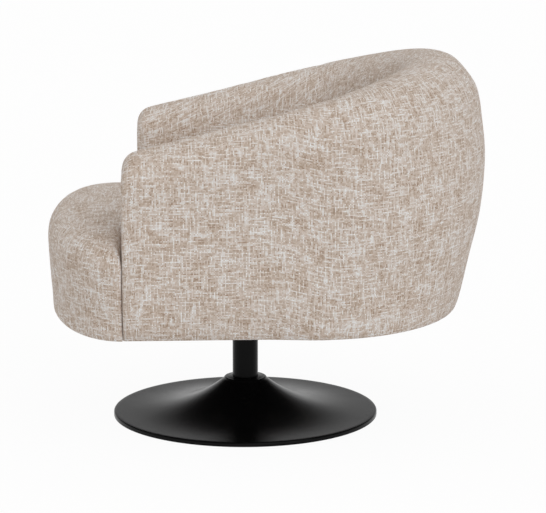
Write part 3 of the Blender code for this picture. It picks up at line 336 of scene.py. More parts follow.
def other_half(weave):
    """Weave marks past the middle ring, where the running lengths go on."""
    middle = weave[-1]
    other = []
    for mark in reversed(weave[:-1]):
        mark = mark.copy()
        for column in (0, 2):
            mark[:, column] = 2 * middle[0, column] - mark[:, column]
        other.append(mark)
    return other


def add_object(name, data):
    item = bpy.data.objects.new(name, data)
    bpy.context.scene.collection.objects.link(item)
    return item


def make_mesh(name, points, faces, weave):
    """A closed mesh with the running lengths of its weave as a UV map. Each face lists its corners."""
    mesh = bpy.data.meshes.new(name)
    bm = bmesh.new()
    verts = [bm.verts.new(p) for p in points]
    layer = bm.loops.layers.uv.new("Weave")
    for corners, marks in zip(faces, weave):
        face = bm.faces.new([verts[k] for k in corners])
        for loop, mark in zip(face.loops, marks):
            loop[layer].uv = mark
    bmesh.ops.recalc_face_normals(bm, faces=bm.faces[:])
    bm.to_mesh(mesh)
    bm.free()
    mesh.shade_smooth()
    return add_object(name, mesh)


def inside_marks(loop, spots):
    """Which of the spots lie inside the closed loop."""
    crossed = np.zeros(len(spots), bool)
    for a, b in zip(loop, np.roll(loop, -1, axis=0)):
        if a[1] == b[1]:
            continue
        between = (a[1] > spots[:, 1]) != (b[1] > spots[:, 1])
        reach = a[0] + (b[0] - a[0]) * (spots[:, 1] - a[1]) / (b[1] - a[1])
        crossed ^= between & (spots[:, 0] < reach)
    return crossed


def to_line(line, spots):
    """Distance from each spot to an open line, and how far along the line its nearest place is."""
    a, d = line[:-1], np.diff(line, axis=0)
    square = np.maximum((d * d).sum(1), 1e-18)
    run = lengths(line)
    found = []
    for start in range(0, len(spots), CHUNK):
        p = spots[start:start + CHUNK, None, :]
        share = np.clip(((p - a) * d).sum(2) / square, 0.0, 1.0)
        gap = np.linalg.norm(p - a - share[:, :, None] * d, axis=2)
        side = gap.argmin(1)
        row = np.arange(len(side))
        along = run[side] + share[row, side] * (run[side + 1] - run[side])
        found.append(np.column_stack([gap[row, side], along]))
    return np.vstack(found)


def to_loop(loop, spots):
    """Distance from each spot to the closed loop."""
    return to_line(np.vstack([loop, loop[:1]]), spots)[:, 0]


def fill(loop, spots):
    """Triangles over the closed loop, with these loose spots inside it."""
    count = len(loop)
    points = [Vector(p) for p in loop] + [Vector(p) for p in spots]
    edges = [(k, (k + 1) % count) for k in range(count)]
    found = delaunay_2d_cdt(points, edges, [], 1, 1e-7)
    origin = [sources[0] for sources in found[3]]
    return [[origin[k] for k in corners] for corners in found[2]]


def grid_spots(loop, margin):
    """Even staggered grid of spots inside the loop, clear of its edge by this margin."""
    low, high = loop.min(0), loop.max(0)
    rows = int((high[1] - low[1]) / (GRID_STEP * GRID_ROW)) + 1
    columns = int((high[0] - low[0]) / GRID_STEP) + 2
    spots = np.array([(low[0] + GRID_STEP * (i + 0.5 * (j % 2)), low[1] + GRID_STEP * GRID_ROW * j)
                      for j in range(rows) for i in range(columns)])
    spots = spots[inside_marks(loop, spots)]
    return spots[to_loop(loop, spots) > margin]


def ribbed(mark, ends):
    """The finer weave along the arm fronts, where the running length counts double."""
    near_start = np.maximum(0.0, RIB_WIDTH - (mark[:, 0] - ends[0]))
    near_end = np.maximum(0.0, RIB_WIDTH - (ends[1] - mark[:, 0]))
    return np.column_stack([mark[:, 0] - near_start + near_end, mark[:, 1]])


def build_tub():
    """The wall as one closed mesh, with the points tucked out of sight and those on its inner lining."""
    half, weave = wall_rings()
    flip = np.array([-1.0, 1.0, 1.0])
    rings = half + [ring * flip for ring in reversed(half[:-1])]
    weave = weave + other_half(weave)
    quarter = len(weave[0]) // 4
    ends = {first: (weave[0][quarter, first], weave[-1][quarter, first]) for first in (0, 2)}
    count = len(rings[0])
    points = [p for ring in rings for p in ring]
    faces, marks = [], []
    for r in range(len(rings) - 1):
        here, there = r * count, (r + 1) * count
        near, far = weave[r], weave[r + 1]
        for k in range(count):
            after = (k + 1) % count
            faces.append([here + k, there + k, there + after, here + after])
            if k >= SKIN_POINTS - 1:
                marks.append(HIDDEN_MARKS)
                continue
            first = 2 if k >= INSIDE_FROM else 0
            pick = slice(first, first + 2)
            corners = np.array([near[k, pick], far[k, pick], far[after, pick], near[after, pick]])
            marks.append([tuple(mark) for mark in ribbed(corners, ends[first])])
    for r in (0, len(rings) - 1):
        ring = rings[r]
        loop = ring[:, [0, 2]]
        spots = grid_spots(loop, TUB_MARGIN)
        start = len(points)
        points += [(x, ring[0, 1], z) for x, z in spots]
        flat = [tuple(p) for p in loop] + [tuple(p) for p in spots]
        for corners in fill(loop, spots):
            faces.append([r * count + k if k < count else start + k - count for k in corners])
            marks.append([flat[k] for k in corners])
    place = np.arange(len(points))
    on_rings = place < len(rings) * count
    tucked = (place % count >= SKIN_POINTS - 1) & on_rings
    lined = (place % count >= LINED_FROM) & on_rings
    return make_mesh("tweed_tub", points, faces, marks), tucked, lined


# The seat block. Its rolls are deeper and its shoulders softer than the CAD model's.

SEAT_FRONT_Y = -0.382
SEAT_HALF_WIDTH = 0.377
SHOULDER_Y = -0.2222
SHOULDER_LENGTH = SHOULDER_Y - SEAT_FRONT_Y
SEAT_TOP = 0.4415
SEAT_LIFT = 0.0015
CROWN_Y = -0.25
CROWN_ACROSS, CROWN_REAR, CROWN_FRONT = 0.30, 0.040, 1.05
SEAT_WALL_GAP = 0.0010
FOAM_BOTTOM = 0.2992
PAD_DEPTH = 0.040

CORNER_ROUND = 0.0050
ROLL_FRONT, ROLL_SIDE, ROLL_SHOULDER, ROLL_INNER = 0.045, 0.040, 0.026, 0.030
ROLL_DROP, ROLL_POWER = 1.12, 2.3
ROLL_STEPS = (0, 9, 18, 27, 36, 45, 54, 63, 72, 81, 90)
ROLL_CHANGE = 0.02
SHOULDER_FADE_IN, SHOULDER_FADE = 0.02, 0.03
SEAM_STEP, SEAM_DEPTH = 8, 0.0008
DRAW_FRONT, DRAW_SIDE, DRAW_POWER = 0.009, 0.014, 1.35

FRONT_SPOTS, CORNER_SPOTS, SHOULDER_SPOTS = 76, 4, 14
SHOULDER_FROM_X = 0.331
INNER_FRONT_YS = (-0.2135, -0.206, -0.199)
TAIL, INNER_TAIL = 0.1, 0.012
CELL = 0.0022
ROW_CLEAR, FRONT_ROW_CLEAR = 0.3, 0.97
CROWN_MARGIN, CROWN_CLEAR = 0.008, 0.005
NO_ROW = 99
SIDE_LEVELS, APRON_LEVELS = 14, 8
APRON_FOOT = ((0.55, BODY_BOTTOM + 0.0002), (0.93, BODY_BOTTOM + 0.0008), (1.0, HEM_HEIGHT))


def seat_height(x, y):
    rear = np.maximum(0.0, y - CROWN_Y)
    front = np.maximum(0.0, CROWN_Y - y)
    return SEAT_TOP + SEAT_LIFT - CROWN_ACROSS * x * x - CROWN_REAR * rear - CROWN_FRONT * front * front


def front_spot(turn, depth=0.0):
    return (SEAT_HALF_WIDTH - depth) * math.cos(turn), SHOULDER_Y - (SHOULDER_LENGTH - depth) * math.sin(turn)


def seat_half():
    """Half the block's outline: place, which edge it is on, its draw-in and the apron's inner line there."""
    last = math.asin(CORNER_ROUND / SHOULDER_LENGTH)
    fine = np.linspace(0.5 * math.pi, last, 400)
    run = lengths(np.array([front_spot(turn) for turn in fine]))
    points = []
    for turn in np.interp(np.linspace(0.0, run[-1], FRONT_SPOTS), run, fine):
        inward = np.array((-math.cos(turn) / SEAT_HALF_WIDTH, math.sin(turn) / SHOULDER_LENGTH))
        inward /= np.linalg.norm(inward)
        amount = mix(DRAW_FRONT, DRAW_SIDE, math.cos(turn))
        points.append((front_spot(turn), "front", inward * amount, front_spot(turn, PAD_DEPTH)))
    before = points[-1][3]
    for k in range(1, CORNER_SPOTS + 1):
        share = k / CORNER_SPOTS
        turn = 0.5 * math.pi * share
        spot = (SEAT_HALF_WIDTH - CORNER_ROUND * (1.0 - math.cos(turn)),
                SHOULDER_Y - CORNER_ROUND * (1.0 - math.sin(turn)))
        within = (mix(before[0], SEAT_HALF_WIDTH - PAD_DEPTH, share), mix(before[1], SHOULDER_Y, share))
        points.append((spot, "front", np.array((-DRAW_SIDE, 0.0)), within))
    none = np.zeros(2)
    corner = HALF_WIDTH * taper(ARM_FRONT_Y) - ARM_THICKNESS - SEAT_WALL_GAP
    for x in [SEAT_HALF_WIDTH - PAD_DEPTH, *np.linspace(SHOULDER_FROM_X, corner, SHOULDER_SPOTS)]:
        points.append(((x, SHOULDER_Y), "shoulder", none, None))
    for station in [arm_station(y) for y in INNER_FRONT_YS] + STATIONS:
        point, normal = station
        spot = point - normal * (wall_depth(station) + SEAT_WALL_GAP)
        points.append(((spot.x, spot.y), "inner", none, None))
    return points


def rolled(gap, reach, drop):
    """How far a rolled edge of this reach and drop falls at this distance from it."""
    left = np.clip(1.0 - gap / reach, 0.0, 1.0)
    return drop * (1.0 - (1.0 - left ** ROLL_POWER) ** (1.0 / ROLL_POWER))


def build_seat():
    half = seat_half()
    other = [((-p[0], p[1]), edge, draw * (-1, 1), within and (-within[0], within[1]))
             for p, edge, draw, within in reversed(half[1:-1])]
    outline = half + other
    count = len(outline)
    loop = np.array([item[0] for item in outline])
    draws = np.array([item[2] for item in outline])
    hangs = [item[1] == "front" for item in outline]
    run = lengths(np.vstack([loop, loop[:1]]))

    curve = [front_spot(turn) for turn in np.linspace(0.0, math.pi, 240)]
    front = np.array([(SEAT_HALF_WIDTH, SHOULDER_Y + TAIL)] + curve + [(-SEAT_HALF_WIDTH, SHOULDER_Y + TAIL)])
    corner = next(item[0][0] for item in reversed(half) if item[1] == "shoulder")
    inner = np.array([item[0] for item in half if item[1] == "inner"])
    inner = np.vstack([[(corner, SHOULDER_Y + INNER_TAIL)], inner, inner[-2::-1] * (-1, 1),
                       [(-corner, SHOULDER_Y + INNER_TAIL)]])

    def crowned(spots):
        """Height of the top at these spots, with the distance and running length to the front's edge."""
        near = to_line(front, spots)
        share = np.interp(spots[:, 1], (SEAT_FRONT_Y, SHOULDER_Y - ROLL_CHANGE), (1.0, 0.0))
        reach = ROLL_SIDE + (ROLL_FRONT - ROLL_SIDE) * share
        fall = rolled(near[:, 0], reach, reach * ROLL_DROP)
        wall = rolled(to_line(inner, spots)[:, 0], ROLL_INNER, ROLL_INNER)
        behind = np.maximum(0.0, SHOULDER_Y - spots[:, 1])
        outside = np.clip((np.abs(spots[:, 0]) - corner + SHOULDER_FADE_IN) / SHOULDER_FADE, 0.0, 1.0)
        shoulder = rolled(behind, ROLL_SHOULDER, ROLL_SHOULDER) * outside
        total = (fall ** 2 + wall ** 2 + shoulder ** 2) ** 0.5
        return seat_height(*spots.T) - total, near, reach

    # Rows of spots along the rolled edges, then an even grid between them
    ahead = np.roll(loop, -1, axis=0) - np.roll(loop, 1, axis=0)
    ahead /= np.linalg.norm(ahead, axis=1)[:, None]
    inward = np.column_stack([-ahead[:, 1], ahead[:, 0]])
    top, edge, edge_reach = crowned(loop)
    widths = {"front": edge_reach, "shoulder": ROLL_SHOULDER, "inner": ROLL_INNER}
    taken, spots, row_of = set(), [], []
    for kind, steps in (("front", ROLL_STEPS[1:]), ("inner", ROLL_STEPS[2::2]),
                        ("shoulder", ROLL_STEPS[3::3])):
        here = np.array([item[1] == kind for item in outline])
        for step in steps:
            away = np.ones(count) * widths[kind] * (1.0 - math.cos(math.radians(step)) ** (2.0 / ROLL_POWER))
            row = (loop + inward * away[:, None])[here]
            good = inside_marks(loop, row) & (to_loop(loop, row) > ROW_CLEAR * away[here])
            if kind == "front":
                good &= to_line(front, row)[:, 0] > FRONT_ROW_CLEAR * away[here]
            for spot in row[good]:
                cell = (round(spot[0] / CELL), round(spot[1] / CELL))
                if kind == "front" or cell not in taken:
                    taken.add(cell)
                    spots.append(spot)
                    row_of.append(ROLL_STEPS.index(step) if kind == "front" else NO_ROW)
    rim = np.array(spots)
    crown = grid_spots(loop, CROWN_MARGIN)
    kept = [spot for spot in crown if np.min(np.abs(rim - spot).max(1)) > CROWN_CLEAR]
    spots = np.vstack([rim, kept])
    row_of = np.array([0 if hang else NO_ROW for hang in hangs] + row_of + [NO_ROW] * len(kept))
    height, near, reach = crowned(spots)

    # Weave marks: flat over the top, and running along the border below the seam
    left = np.clip(1.0 - near[:, 0] / reach, 0.0, 1.0)
    turns = np.linspace(0.5 * math.pi, 0.0, 200)
    arc = np.column_stack([np.cos(turns) ** (2.0 / ROLL_POWER), np.sin(turns) ** (2.0 / ROLL_POWER)])
    arc_length = lengths(arc)
    curved = np.interp(left, arc[:, 0], arc_length)
    front_run = lengths(front)
    foot = np.column_stack([np.interp(near[:, 1], front_run, c) for c in front.T])
    out = foot - spots
    out /= np.maximum(1e-9, np.linalg.norm(out, axis=1))[:, None]
    flat = spots + out * (reach * (curved - left))[:, None]
    flat_edge = loop - inward * np.where(hangs, edge_reach * (arc_length[-1] - 1.0), 0.0)[:, None]
    start = edge[0, 1]
    border = [(start - a, t) for a, t in zip(edge[:, 1], top)]
    edge_top = seat_height(*foot.T) - reach * ROLL_DROP
    border += [(start - a, t + r * (arc_length[-1] - c))
               for a, t, r, c in zip(near[:, 1], edge_top, reach, curved)]
    height = height - np.where(row_of[count:] == SEAM_STEP, SEAM_DEPTH, 0.0)

    points = [(x, y, z) for (x, y), z in zip([*loop, *spots], [*top, *height])]
    planar = [tuple(p) for p in flat_edge] + [tuple(p) for p in flat]
    faces, marks = [], []
    for corners in fill(loop, spots):
        faces.append(corners)
        side_panel = max(row_of[k] for k in corners) <= SEAM_STEP
        marks.append([(border if side_panel else planar)[k] for k in corners])
    along = [m[0] for m in border[:count]]

    # The sides, down to the level of the frame
    rows = [list(range(count))]
    heights = [top]
    for level in range(1, SIDE_LEVELS + 1):
        z = top + (FOAM_BOTTOM - top) * (level / SIDE_LEVELS)
        fall = ((top - z) / (top - BODY_BOTTOM)) ** DRAW_POWER
        place = loop + draws * fall[:, None]
        rows.append(list(range(len(points), len(points) + count)))
        points += [(x, y, h) for (x, y), h in zip(place, z)]
        heights.append(z)
    for upper, lower, high, low in zip(rows, rows[1:], heights, heights[1:]):
        for k in range(count):
            b = (k + 1) % count
            faces.append([upper[k], upper[b], lower[b], lower[k]])
            u = (along[k], along[b]) if hangs[k] and hangs[b] else (run[k], run[k + 1])
            marks.append([(u[0], high[k]), (u[1], high[b]), (u[1], low[b]), (u[0], low[k])])

    # The apron in front of the frame, with its hem and its inner face
    columns = [k for k in range(count) if hangs[k]]
    first = next(k for k in range(len(columns)) if columns[k] != columns[0] + k)
    columns = columns[first:] + columns[:first]
    lower = rows[-1]
    strips = []

    def place_in(column, x, y, z):
        column.append(len(points))
        points.append((x, y, z))

    for place, k in enumerate(columns):
        within = np.array(outline[k][3])
        draw = draws[k]
        column = [lower[k]]
        for level in range(1, APRON_LEVELS + 1):
            z = mix(FOAM_BOTTOM, BODY_BOTTOM + EDGE_ROUND, level / APRON_LEVELS)
            fall = ((top[k] - z) / (top[k] - BODY_BOTTOM)) ** DRAW_POWER
            place_in(column, *(loop[k] + draw * fall), z)
        base = loop[k] + draw
        toward = (within - base) / max(1e-9, np.linalg.norm(within - base))
        for t in map(math.radians, (30, 60, 90)):
            place_in(column, *(base + toward * EDGE_ROUND * (1.0 - math.cos(t))),
                     BODY_BOTTOM + EDGE_ROUND * (1.0 - math.sin(t)))
        for share, z in APRON_FOOT:
            place_in(column, *(base + (within - base) * share), z)
        if place in (0, len(columns) - 1):
            column.append(lower[(k + (1 if place else -1)) % count])
        else:
            place_in(column, *within, FOAM_BOTTOM)
        strips.append(column)
    for a, b, k, after in zip(strips, strips[1:], columns, columns[1:]):
        for j in range(len(a) - 1):
            corners = [a[j], b[j], b[j + 1], a[j + 1]]
            faces.append(corners)
            marks.append([(u, points[p][2]) for u, p in
                          zip((along[k], along[after], along[after], along[k]), corners)])
    for column in (strips[0], strips[-1]):
        faces.append(column)
        marks.append([(points[k][0], points[k][2]) for k in column])
    rim = [column[-1] for column in strips]
    k = columns[-1] + 2
    while k % count != (columns[0] - 1) % count:
        rim.append(lower[k % count])
        k += 1
    under = np.array([points[k][:2] for k in rim])
    for corners in fill(under, []):
        faces.append([rim[k] for k in corners])
        marks.append([points[rim[k]][:2] for k in corners])
    return make_mesh("tweed_seat", points, faces, marks)


# The base's spun cover

DISC_RADIUS = 0.260
RIM_BOTTOM, RIM_TOP, RIM_ROUND = 0.0022, 0.0104, 0.003
NECK_BORE, NECK_RADIUS, NECK_TOP, NECK_LIP = 0.0347, 0.0417, 0.0755, 0.0025
COVER_SHEET = 0.002
FLARE_POWER = 3.0
FLARE_STEPS = 56
COVER_STEPS = 160


def flare_height(radius):
    share = max(0.0, (DISC_RADIUS - radius) / (DISC_RADIUS - NECK_RADIUS))
    return RIM_TOP + (NECK_TOP - NECK_LIP - RIM_TOP) * share ** FLARE_POWER


def build_cover():
    """Trumpet-shaped cover, turned from a fine profile, with a rolled rim and a rounded neck."""
    edge = DISC_RADIUS - RIM_ROUND
    outer = [(DISC_RADIUS, RIM_BOTTOM), (DISC_RADIUS, RIM_TOP - RIM_ROUND)]
    for t in map(math.radians, (20, 45, 70)):
        outer.append((edge + RIM_ROUND * math.cos(t), flare_height(edge) - RIM_ROUND * (1.0 - math.sin(t))))
    radii = [mix(edge, NECK_RADIUS, (k / FLARE_STEPS) ** 0.9) for k in range(FLARE_STEPS + 1)]
    outer += [(radius, flare_height(radius)) for radius in radii]
    for t in map(math.radians, (25, 50, 75, 90)):
        outer.append((NECK_RADIUS - NECK_LIP * (1.0 - math.cos(t)),
                      NECK_TOP - NECK_LIP * (1.0 - math.sin(t))))
    outer.append((NECK_BORE, NECK_TOP))
    inner = [(NECK_BORE, NECK_TOP - COVER_SHEET), (NECK_RADIUS - COVER_SHEET, NECK_TOP - 2 * COVER_SHEET)]
    inner += [(radius - 0.5 * COVER_SHEET, flare_height(radius) - 1.15 * COVER_SHEET)
              for radius in radii[-2::-3]]
    inner.append((DISC_RADIUS - COVER_SHEET, RIM_BOTTOM))
    profile = outer + inner
    points, faces = [], []
    for k in range(COVER_STEPS):
        a = 2.0 * math.pi * k / COVER_STEPS
        points += [(r * math.cos(a), r * math.sin(a), z) for r, z in profile]
    size = len(profile)
    for k in range(COVER_STEPS):
        here, there = k * size, ((k + 1) % COVER_STEPS) * size
        for j in range(size):
            after = (j + 1) % size
            faces.append([here + j, there + j, there + after, here + after])
    item = make_mesh("spun_cover", points, faces, [[(0.0, 0.0)] * 4] * len(faces))
    item.data.set_sharp_from_angle(angle=math.radians(50))
    return item


# Cloth simulation of the two covers over their padding

CLOTH_FRAMES, CLOTH_CAP = 20, 0.004
CLOTH = {"quality": 4, "mass": 0.4, "tension_stiffness": 30.0, "compression_stiffness": 30.0,
         "shear_stiffness": 10.0, "bending_stiffness": 1.5, "use_pressure": True,
         "uniform_pressure_force": 4.0, "vertex_group_mass": "held"}
SEAT_START, TUB_START = -0.0018, 0.0006
HELD_STEPS = 10

# Where the cloth goes from held to free, or back: heights, a depth below the seat's top and a distance in
# front of its shoulder. Then the places where they apply.
SEAT_HEM_FADE, SEAT_TOP_FADE = (BODY_BOTTOM + 0.012, BODY_BOTTOM + 0.05), (0.004, 0.014)
SEAT_SHOULDER_FADE = (0.006, 0.03)
TUB_HEM_FADE, TUB_SEAT_FADE = (BODY_BOTTOM + 0.008, BODY_BOTTOM + 0.04), (0.455, 0.50)
BESIDE_X, BESIDE_REACH, BEHIND_Y = 0.2, 0.012, 0.1
SEAT_SHOULDER_X = 0.24
FACE_DEPTH = 0.0004


def seat_free(spots):
    """How free the seat's cover is: not along its hem, nor down beside the arms and the back."""
    x, y, z = spots.T
    free = smooth(*SEAT_HEM_FADE, z)
    top = 1.0 - smooth(*SEAT_TOP_FADE, seat_height(x, y) - z)
    beside = ((y > SHOULDER_Y - BESIDE_REACH) & (np.abs(x) > BESIDE_X)) | (y > BEHIND_Y)
    shoulder = smooth(*SEAT_SHOULDER_FADE, SHOULDER_Y - y)
    return free * np.where(beside, top, 1.0) * np.where(np.abs(x) > SEAT_SHOULDER_X, shoulder, 1.0)


def tub_free(spots, tucked, lined):
    """How free the wall's cover is: not at its hem, on the panel, behind the seat or on the arms' faces."""
    front = spots[:, 1] < ARM_FRONT_Y + FRONT_REACH
    free = smooth(*TUB_HEM_FADE, spots[:, 2]) * ~tucked
    free = free * np.where(lined | front, smooth(*TUB_SEAT_FADE, spots[:, 2]), 1.0)
    return free * (spots[:, 1] > ARM_FRONT_Y + FACE_DEPTH)


def vectors(mesh, kind):
    values = np.empty(3 * len(mesh.vertices))
    mesh.vertices.foreach_get(kind, values)
    return values.reshape(-1, 3)


def settle(item, free_of, outward):
    """Simulates the cover as cloth that its foam presses out, and writes the capped moves into its mesh.

    Only faces with a free point go in, because the closed slot's points lie on one another."""
    mesh = item.data
    rest, normal = vectors(mesh, "co"), vectors(mesh, "normal")
    free = free_of(rest)
    faces = [list(face.vertices) for face in mesh.polygons if max(free[k] for k in face.vertices) > 0.0]
    used = sorted({k for face in faces for k in face})
    place = {k: n for n, k in enumerate(used)}
    start = rest[used] + normal[used] * (outward * free[used])[:, None]
    skin = bpy.data.meshes.new("skin")
    skin.from_pydata(start.tolist(), [], [[place[k] for k in face] for face in faces])
    body = add_object("skin", skin)
    scene = bpy.context.scene
    scene.frame_set(1)
    group = body.vertex_groups.new(name="held")
    held = np.round((1.0 - free[used]) * HELD_STEPS).astype(int)
    for step in range(1, HELD_STEPS + 1):
        group.add(np.nonzero(held == step)[0].tolist(), step / HELD_STEPS, "REPLACE")
    cloth = body.modifiers.new("Cloth", "CLOTH")
    for key, value in CLOTH.items():
        setattr(cloth.settings, key, value)
    cloth.settings.effector_weights.gravity = 0.0
    cloth.collision_settings.use_collision = False
    cloth.point_cache.frame_end = CLOTH_FRAMES + 1
    for number in range(1, CLOTH_FRAMES + 1):
        scene.frame_set(number)
    settled = body.evaluated_get(bpy.context.evaluated_depsgraph_get()).to_mesh()
    move = vectors(settled, "co") - start
    bpy.data.objects.remove(body)
    bpy.data.meshes.remove(skin)
    scene.frame_set(1)
    size = np.linalg.norm(move, axis=1)
    rest[used] = start + move * (CLOTH_CAP / (CLOTH_CAP + size))[:, None]
    mesh.vertices.foreach_set("co", rest.ravel())
    mesh.update()


tub, tucked, lined = build_tub()
seat = build_seat()
settle(seat, seat_free, SEAT_START)
settle(tub, lambda spots: tub_free(spots, tucked, lined), TUB_START)
cover = build_cover()
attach(cover, "base")
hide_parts("base_cover")
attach(tub, "seat")
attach(seat, "seat")
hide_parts("tub_cover", "arm_foam_left", "arm_foam_right", "back_foam")
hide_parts("seat_cover", "seat_foam", "front_pad")


# Materials

def linear(red, green, blue):
    """A colour given in the usual 0 to 255 steps, as the shader takes it."""
    return tuple(v / 12.92 if v <= 0.04045 else ((v + 0.055) / 1.055) ** 2.4
                 for v in (red / 255, green / 255, blue / 255))


class Nodes:
    """Short calls that add nodes to a material or a world."""

    def __init__(self, owner):
        owner.use_nodes = True
        self.tree = owner.node_tree
        self.tree.nodes.clear()

    def new(self, kind, **settings):
        node = self.tree.nodes.new("ShaderNode" + kind)
        for key, value in settings.items():
            setattr(node, key, value)
        return node

    def put(self, socket, value):
        if isinstance(value, bpy.types.NodeSocket):
            self.tree.links.new(value, socket)
        else:
            socket.default_value = value

    def add(self, kind, inputs=(), output=0, **settings):
        node = self.new(kind, **settings)
        for key, value in dict(inputs).items():
            self.put(node.inputs[key], value)
        return node.outputs[output]

    def end(self, kind, value):
        self.put(self.new(kind).inputs[0], value)

    def math(self, operation, a, b=0.0, c=0.0, clamp=False):
        return self.add("Math", {0: a, 1: b, 2: c}, operation=operation, use_clamp=clamp)

    def times(self, a, b):
        return self.math("MULTIPLY", a, b)

    def line(self, value, slope, start, clamp=False):
        return self.math("MULTIPLY_ADD", value, slope, start, clamp)

    def around(self, middle, value, spread):
        """The middle, moved by up to half the spread either way as the value goes from 0 to 1."""
        return self.line(self.math("SUBTRACT", value, 0.5), spread, middle)

    def between(self, share, a, b):
        return self.add("Mix", {0: share, 2: a, 3: b})

    def blend(self, share, a, b, kind="MIX"):
        return self.add("Mix", {0: share, 6: a, 7: b}, 2, data_type="RGBA", blend_type=kind)

    def split(self, vector):
        node = self.new("SeparateXYZ")
        self.put(node.inputs[0], vector)
        return node.outputs

    def noise(self, vector, scale, detail, roughness=0.5):
        return self.add("TexNoise", {"Vector": vector, "Scale": scale, "Detail": detail,
                                     "Roughness": roughness})

    def ramp(self, value, *stops):
        """Colours between stops. Each stop is its place and a colour in the usual 0 to 255 steps."""
        node = self.new("ValToRGB")
        elements = node.color_ramp.elements
        while len(elements) < len(stops):
            elements.new(0.5)
        for element, (place, *colour) in zip(elements, stops):
            element.position = place
            element.color = (*linear(*colour), 1.0)
        self.put(node.inputs[0], value)
        return node.outputs[0]

    def seen(self):
        """Whether a ray sees this directly or through glass, and whether by reflection."""
        path = self.new("LightPath").outputs
        return self.math("MAXIMUM", path["Is Camera Ray"], path["Is Transmission Ray"]), path["Is Glossy Ray"]


finishes = {}


class Finish(Nodes):
    """A slot's material, with one Principled shader."""

    def __init__(self, slot, name):
        finishes[slot] = bpy.data.materials.new(name)
        super().__init__(finishes[slot])
        self.shader = self.new("BsdfPrincipled")
        self.end("OutputMaterial", self.shader.outputs[0])

    def place(self):
        return self.add("TexCoord", output="Object")

    def bump(self, height, distance, strength):
        normal = self.add("Bump", {"Height": height, "Distance": distance, "Strength": strength})
        self.put(self.shader.inputs["Normal"], normal)

    def set(self, **values):
        for key, value in values.items():
            self.put(self.shader.inputs[key.replace("_", " ").title().replace("Ior", "IOR")], value)


# The tweed. A tone is a place on TWEED_TONES.
THREAD_PITCH, THREAD_WANDER = 0.0025, 0.4
THREAD_APART, WARP_SEED, WEFT_SEED = 7.31, 1.7, 8.3
SLUBS, SLUB_SHARE, SLUB_EDGE, SLUB_TONE = 42.0, 0.52, 12.0, 0.080
RUN_SPREAD, RUN_TONE = 0.38, 0.265
OVER_WEAVE, OVER_START, OVER_PALE = 0.80, 0.10, 2.4
PATCH_SPREAD, FLECK_SPREAD, GRAIN_SPREAD = 0.18, 0.16, 0.12
THREAD_ROUND, THREAD_SWELL, THREAD_HEIGHT, GRAIN_HEIGHT = 3.6, 1.2, 0.2, 0.25
# Painted shade: the colour darkens where the threads are low, in the gaps between them
GAP_SHADE_HEIGHT, GAP_SHADE_SLOPE, GAP_SHADE_TONE = 0.75, 0.75, 0.47
TWEED_TONES = ((0.28, 158, 131, 108), (0.40, 200, 180, 163), (0.50, 220, 206, 195),
               (0.60, 234, 229, 225), (0.70, 245, 245, 245))


def tweed():
    """Plain weave with pale slubs along both threads, soft patches, flecks and grain, and painted shade that
    darkens the colour in the low gaps between threads.
    """
    n = Finish("beige_tweed", "beige_tweed_weave")
    uv = n.add("UVMap", uv_map="Weave")
    across, up, _ = n.split(uv)
    wander = n.math("SUBTRACT", n.noise(uv, 6.0, 1.0), 0.5)
    u = n.line(across, 1.0 / THREAD_PITCH, n.times(wander, THREAD_WANDER))
    v = n.line(up, 1.0 / THREAD_PITCH, n.times(wander, -THREAD_WANDER))
    warp, weft = n.math("FLOOR", u), n.math("FLOOR", v)

    def thread(number, along, seed):
        """Tone of a thread along its length, with its pale slubs."""
        spot = n.add("CombineXYZ", {0: n.times(number, THREAD_APART), 1: n.times(along, SLUBS), 2: seed})
        run = n.noise(spot, 1.0, 1.0)
        slub = n.line(run, SLUB_EDGE, -SLUB_EDGE * SLUB_SHARE, clamp=True)
        return n.line(slub, SLUB_TONE, n.line(run, RUN_SPREAD, RUN_TONE))

    def thread_height(value, tone):
        """Height of a thread's round back over its width. Pale threads are thicker."""
        part = n.math("SUBTRACT", n.math("FRACT", value), 0.5)
        back = n.math("SUBTRACT", 1.0, n.times(n.times(part, part), THREAD_ROUND))
        return n.times(back, n.line(tone, THREAD_SWELL, THREAD_HEIGHT))

    warp_tone, weft_tone = thread(warp, up, WARP_SEED), thread(weft, across, WEFT_SEED)
    odd = n.math("PINGPONG", n.math("ADD", warp, weft), 1.0)
    over = n.line(n.math("SUBTRACT", warp_tone, weft_tone), OVER_PALE,
                  n.line(odd, OVER_WEAVE, OVER_START), clamp=True)
    tone = n.between(over, weft_tone, warp_tone)
    patch = n.noise(uv, 24.0, 3.0, 0.55)
    fleck = n.add("TexWhiteNoise", {"Vector": n.add("CombineXYZ", {0: warp, 1: weft})}, noise_dimensions="2D")
    grain = n.noise(uv, 1400.0, 2.0, 0.7)
    for value, spread in ((patch, PATCH_SPREAD), (fleck, FLECK_SPREAD), (grain, GRAIN_SPREAD)):
        tone = n.around(tone, value, spread)
    height = n.between(over, thread_height(v, weft_tone), thread_height(u, warp_tone))
    height = n.line(grain, GRAIN_HEIGHT, height)
    # Painted shade: the colour is multiplied down where the weave is low, between the threads
    gap = n.line(n.math("MINIMUM", height, GAP_SHADE_HEIGHT), GAP_SHADE_SLOPE, GAP_SHADE_TONE, clamp=True)
    shade = n.add("CombineColor", {0: gap, 1: gap, 2: gap})
    n.set(base_color=n.blend(1.0, n.ramp(tone, *TWEED_TONES), shade, "MULTIPLY"),
          roughness=n.line(patch, 0.12, 0.82), specular_ior_level=0.2,
          sheen_weight=0.10, sheen_roughness=0.32, sheen_tint=(0.95, 0.88, 0.80, 1.0))
    n.bump(height, 0.0007, 0.9)


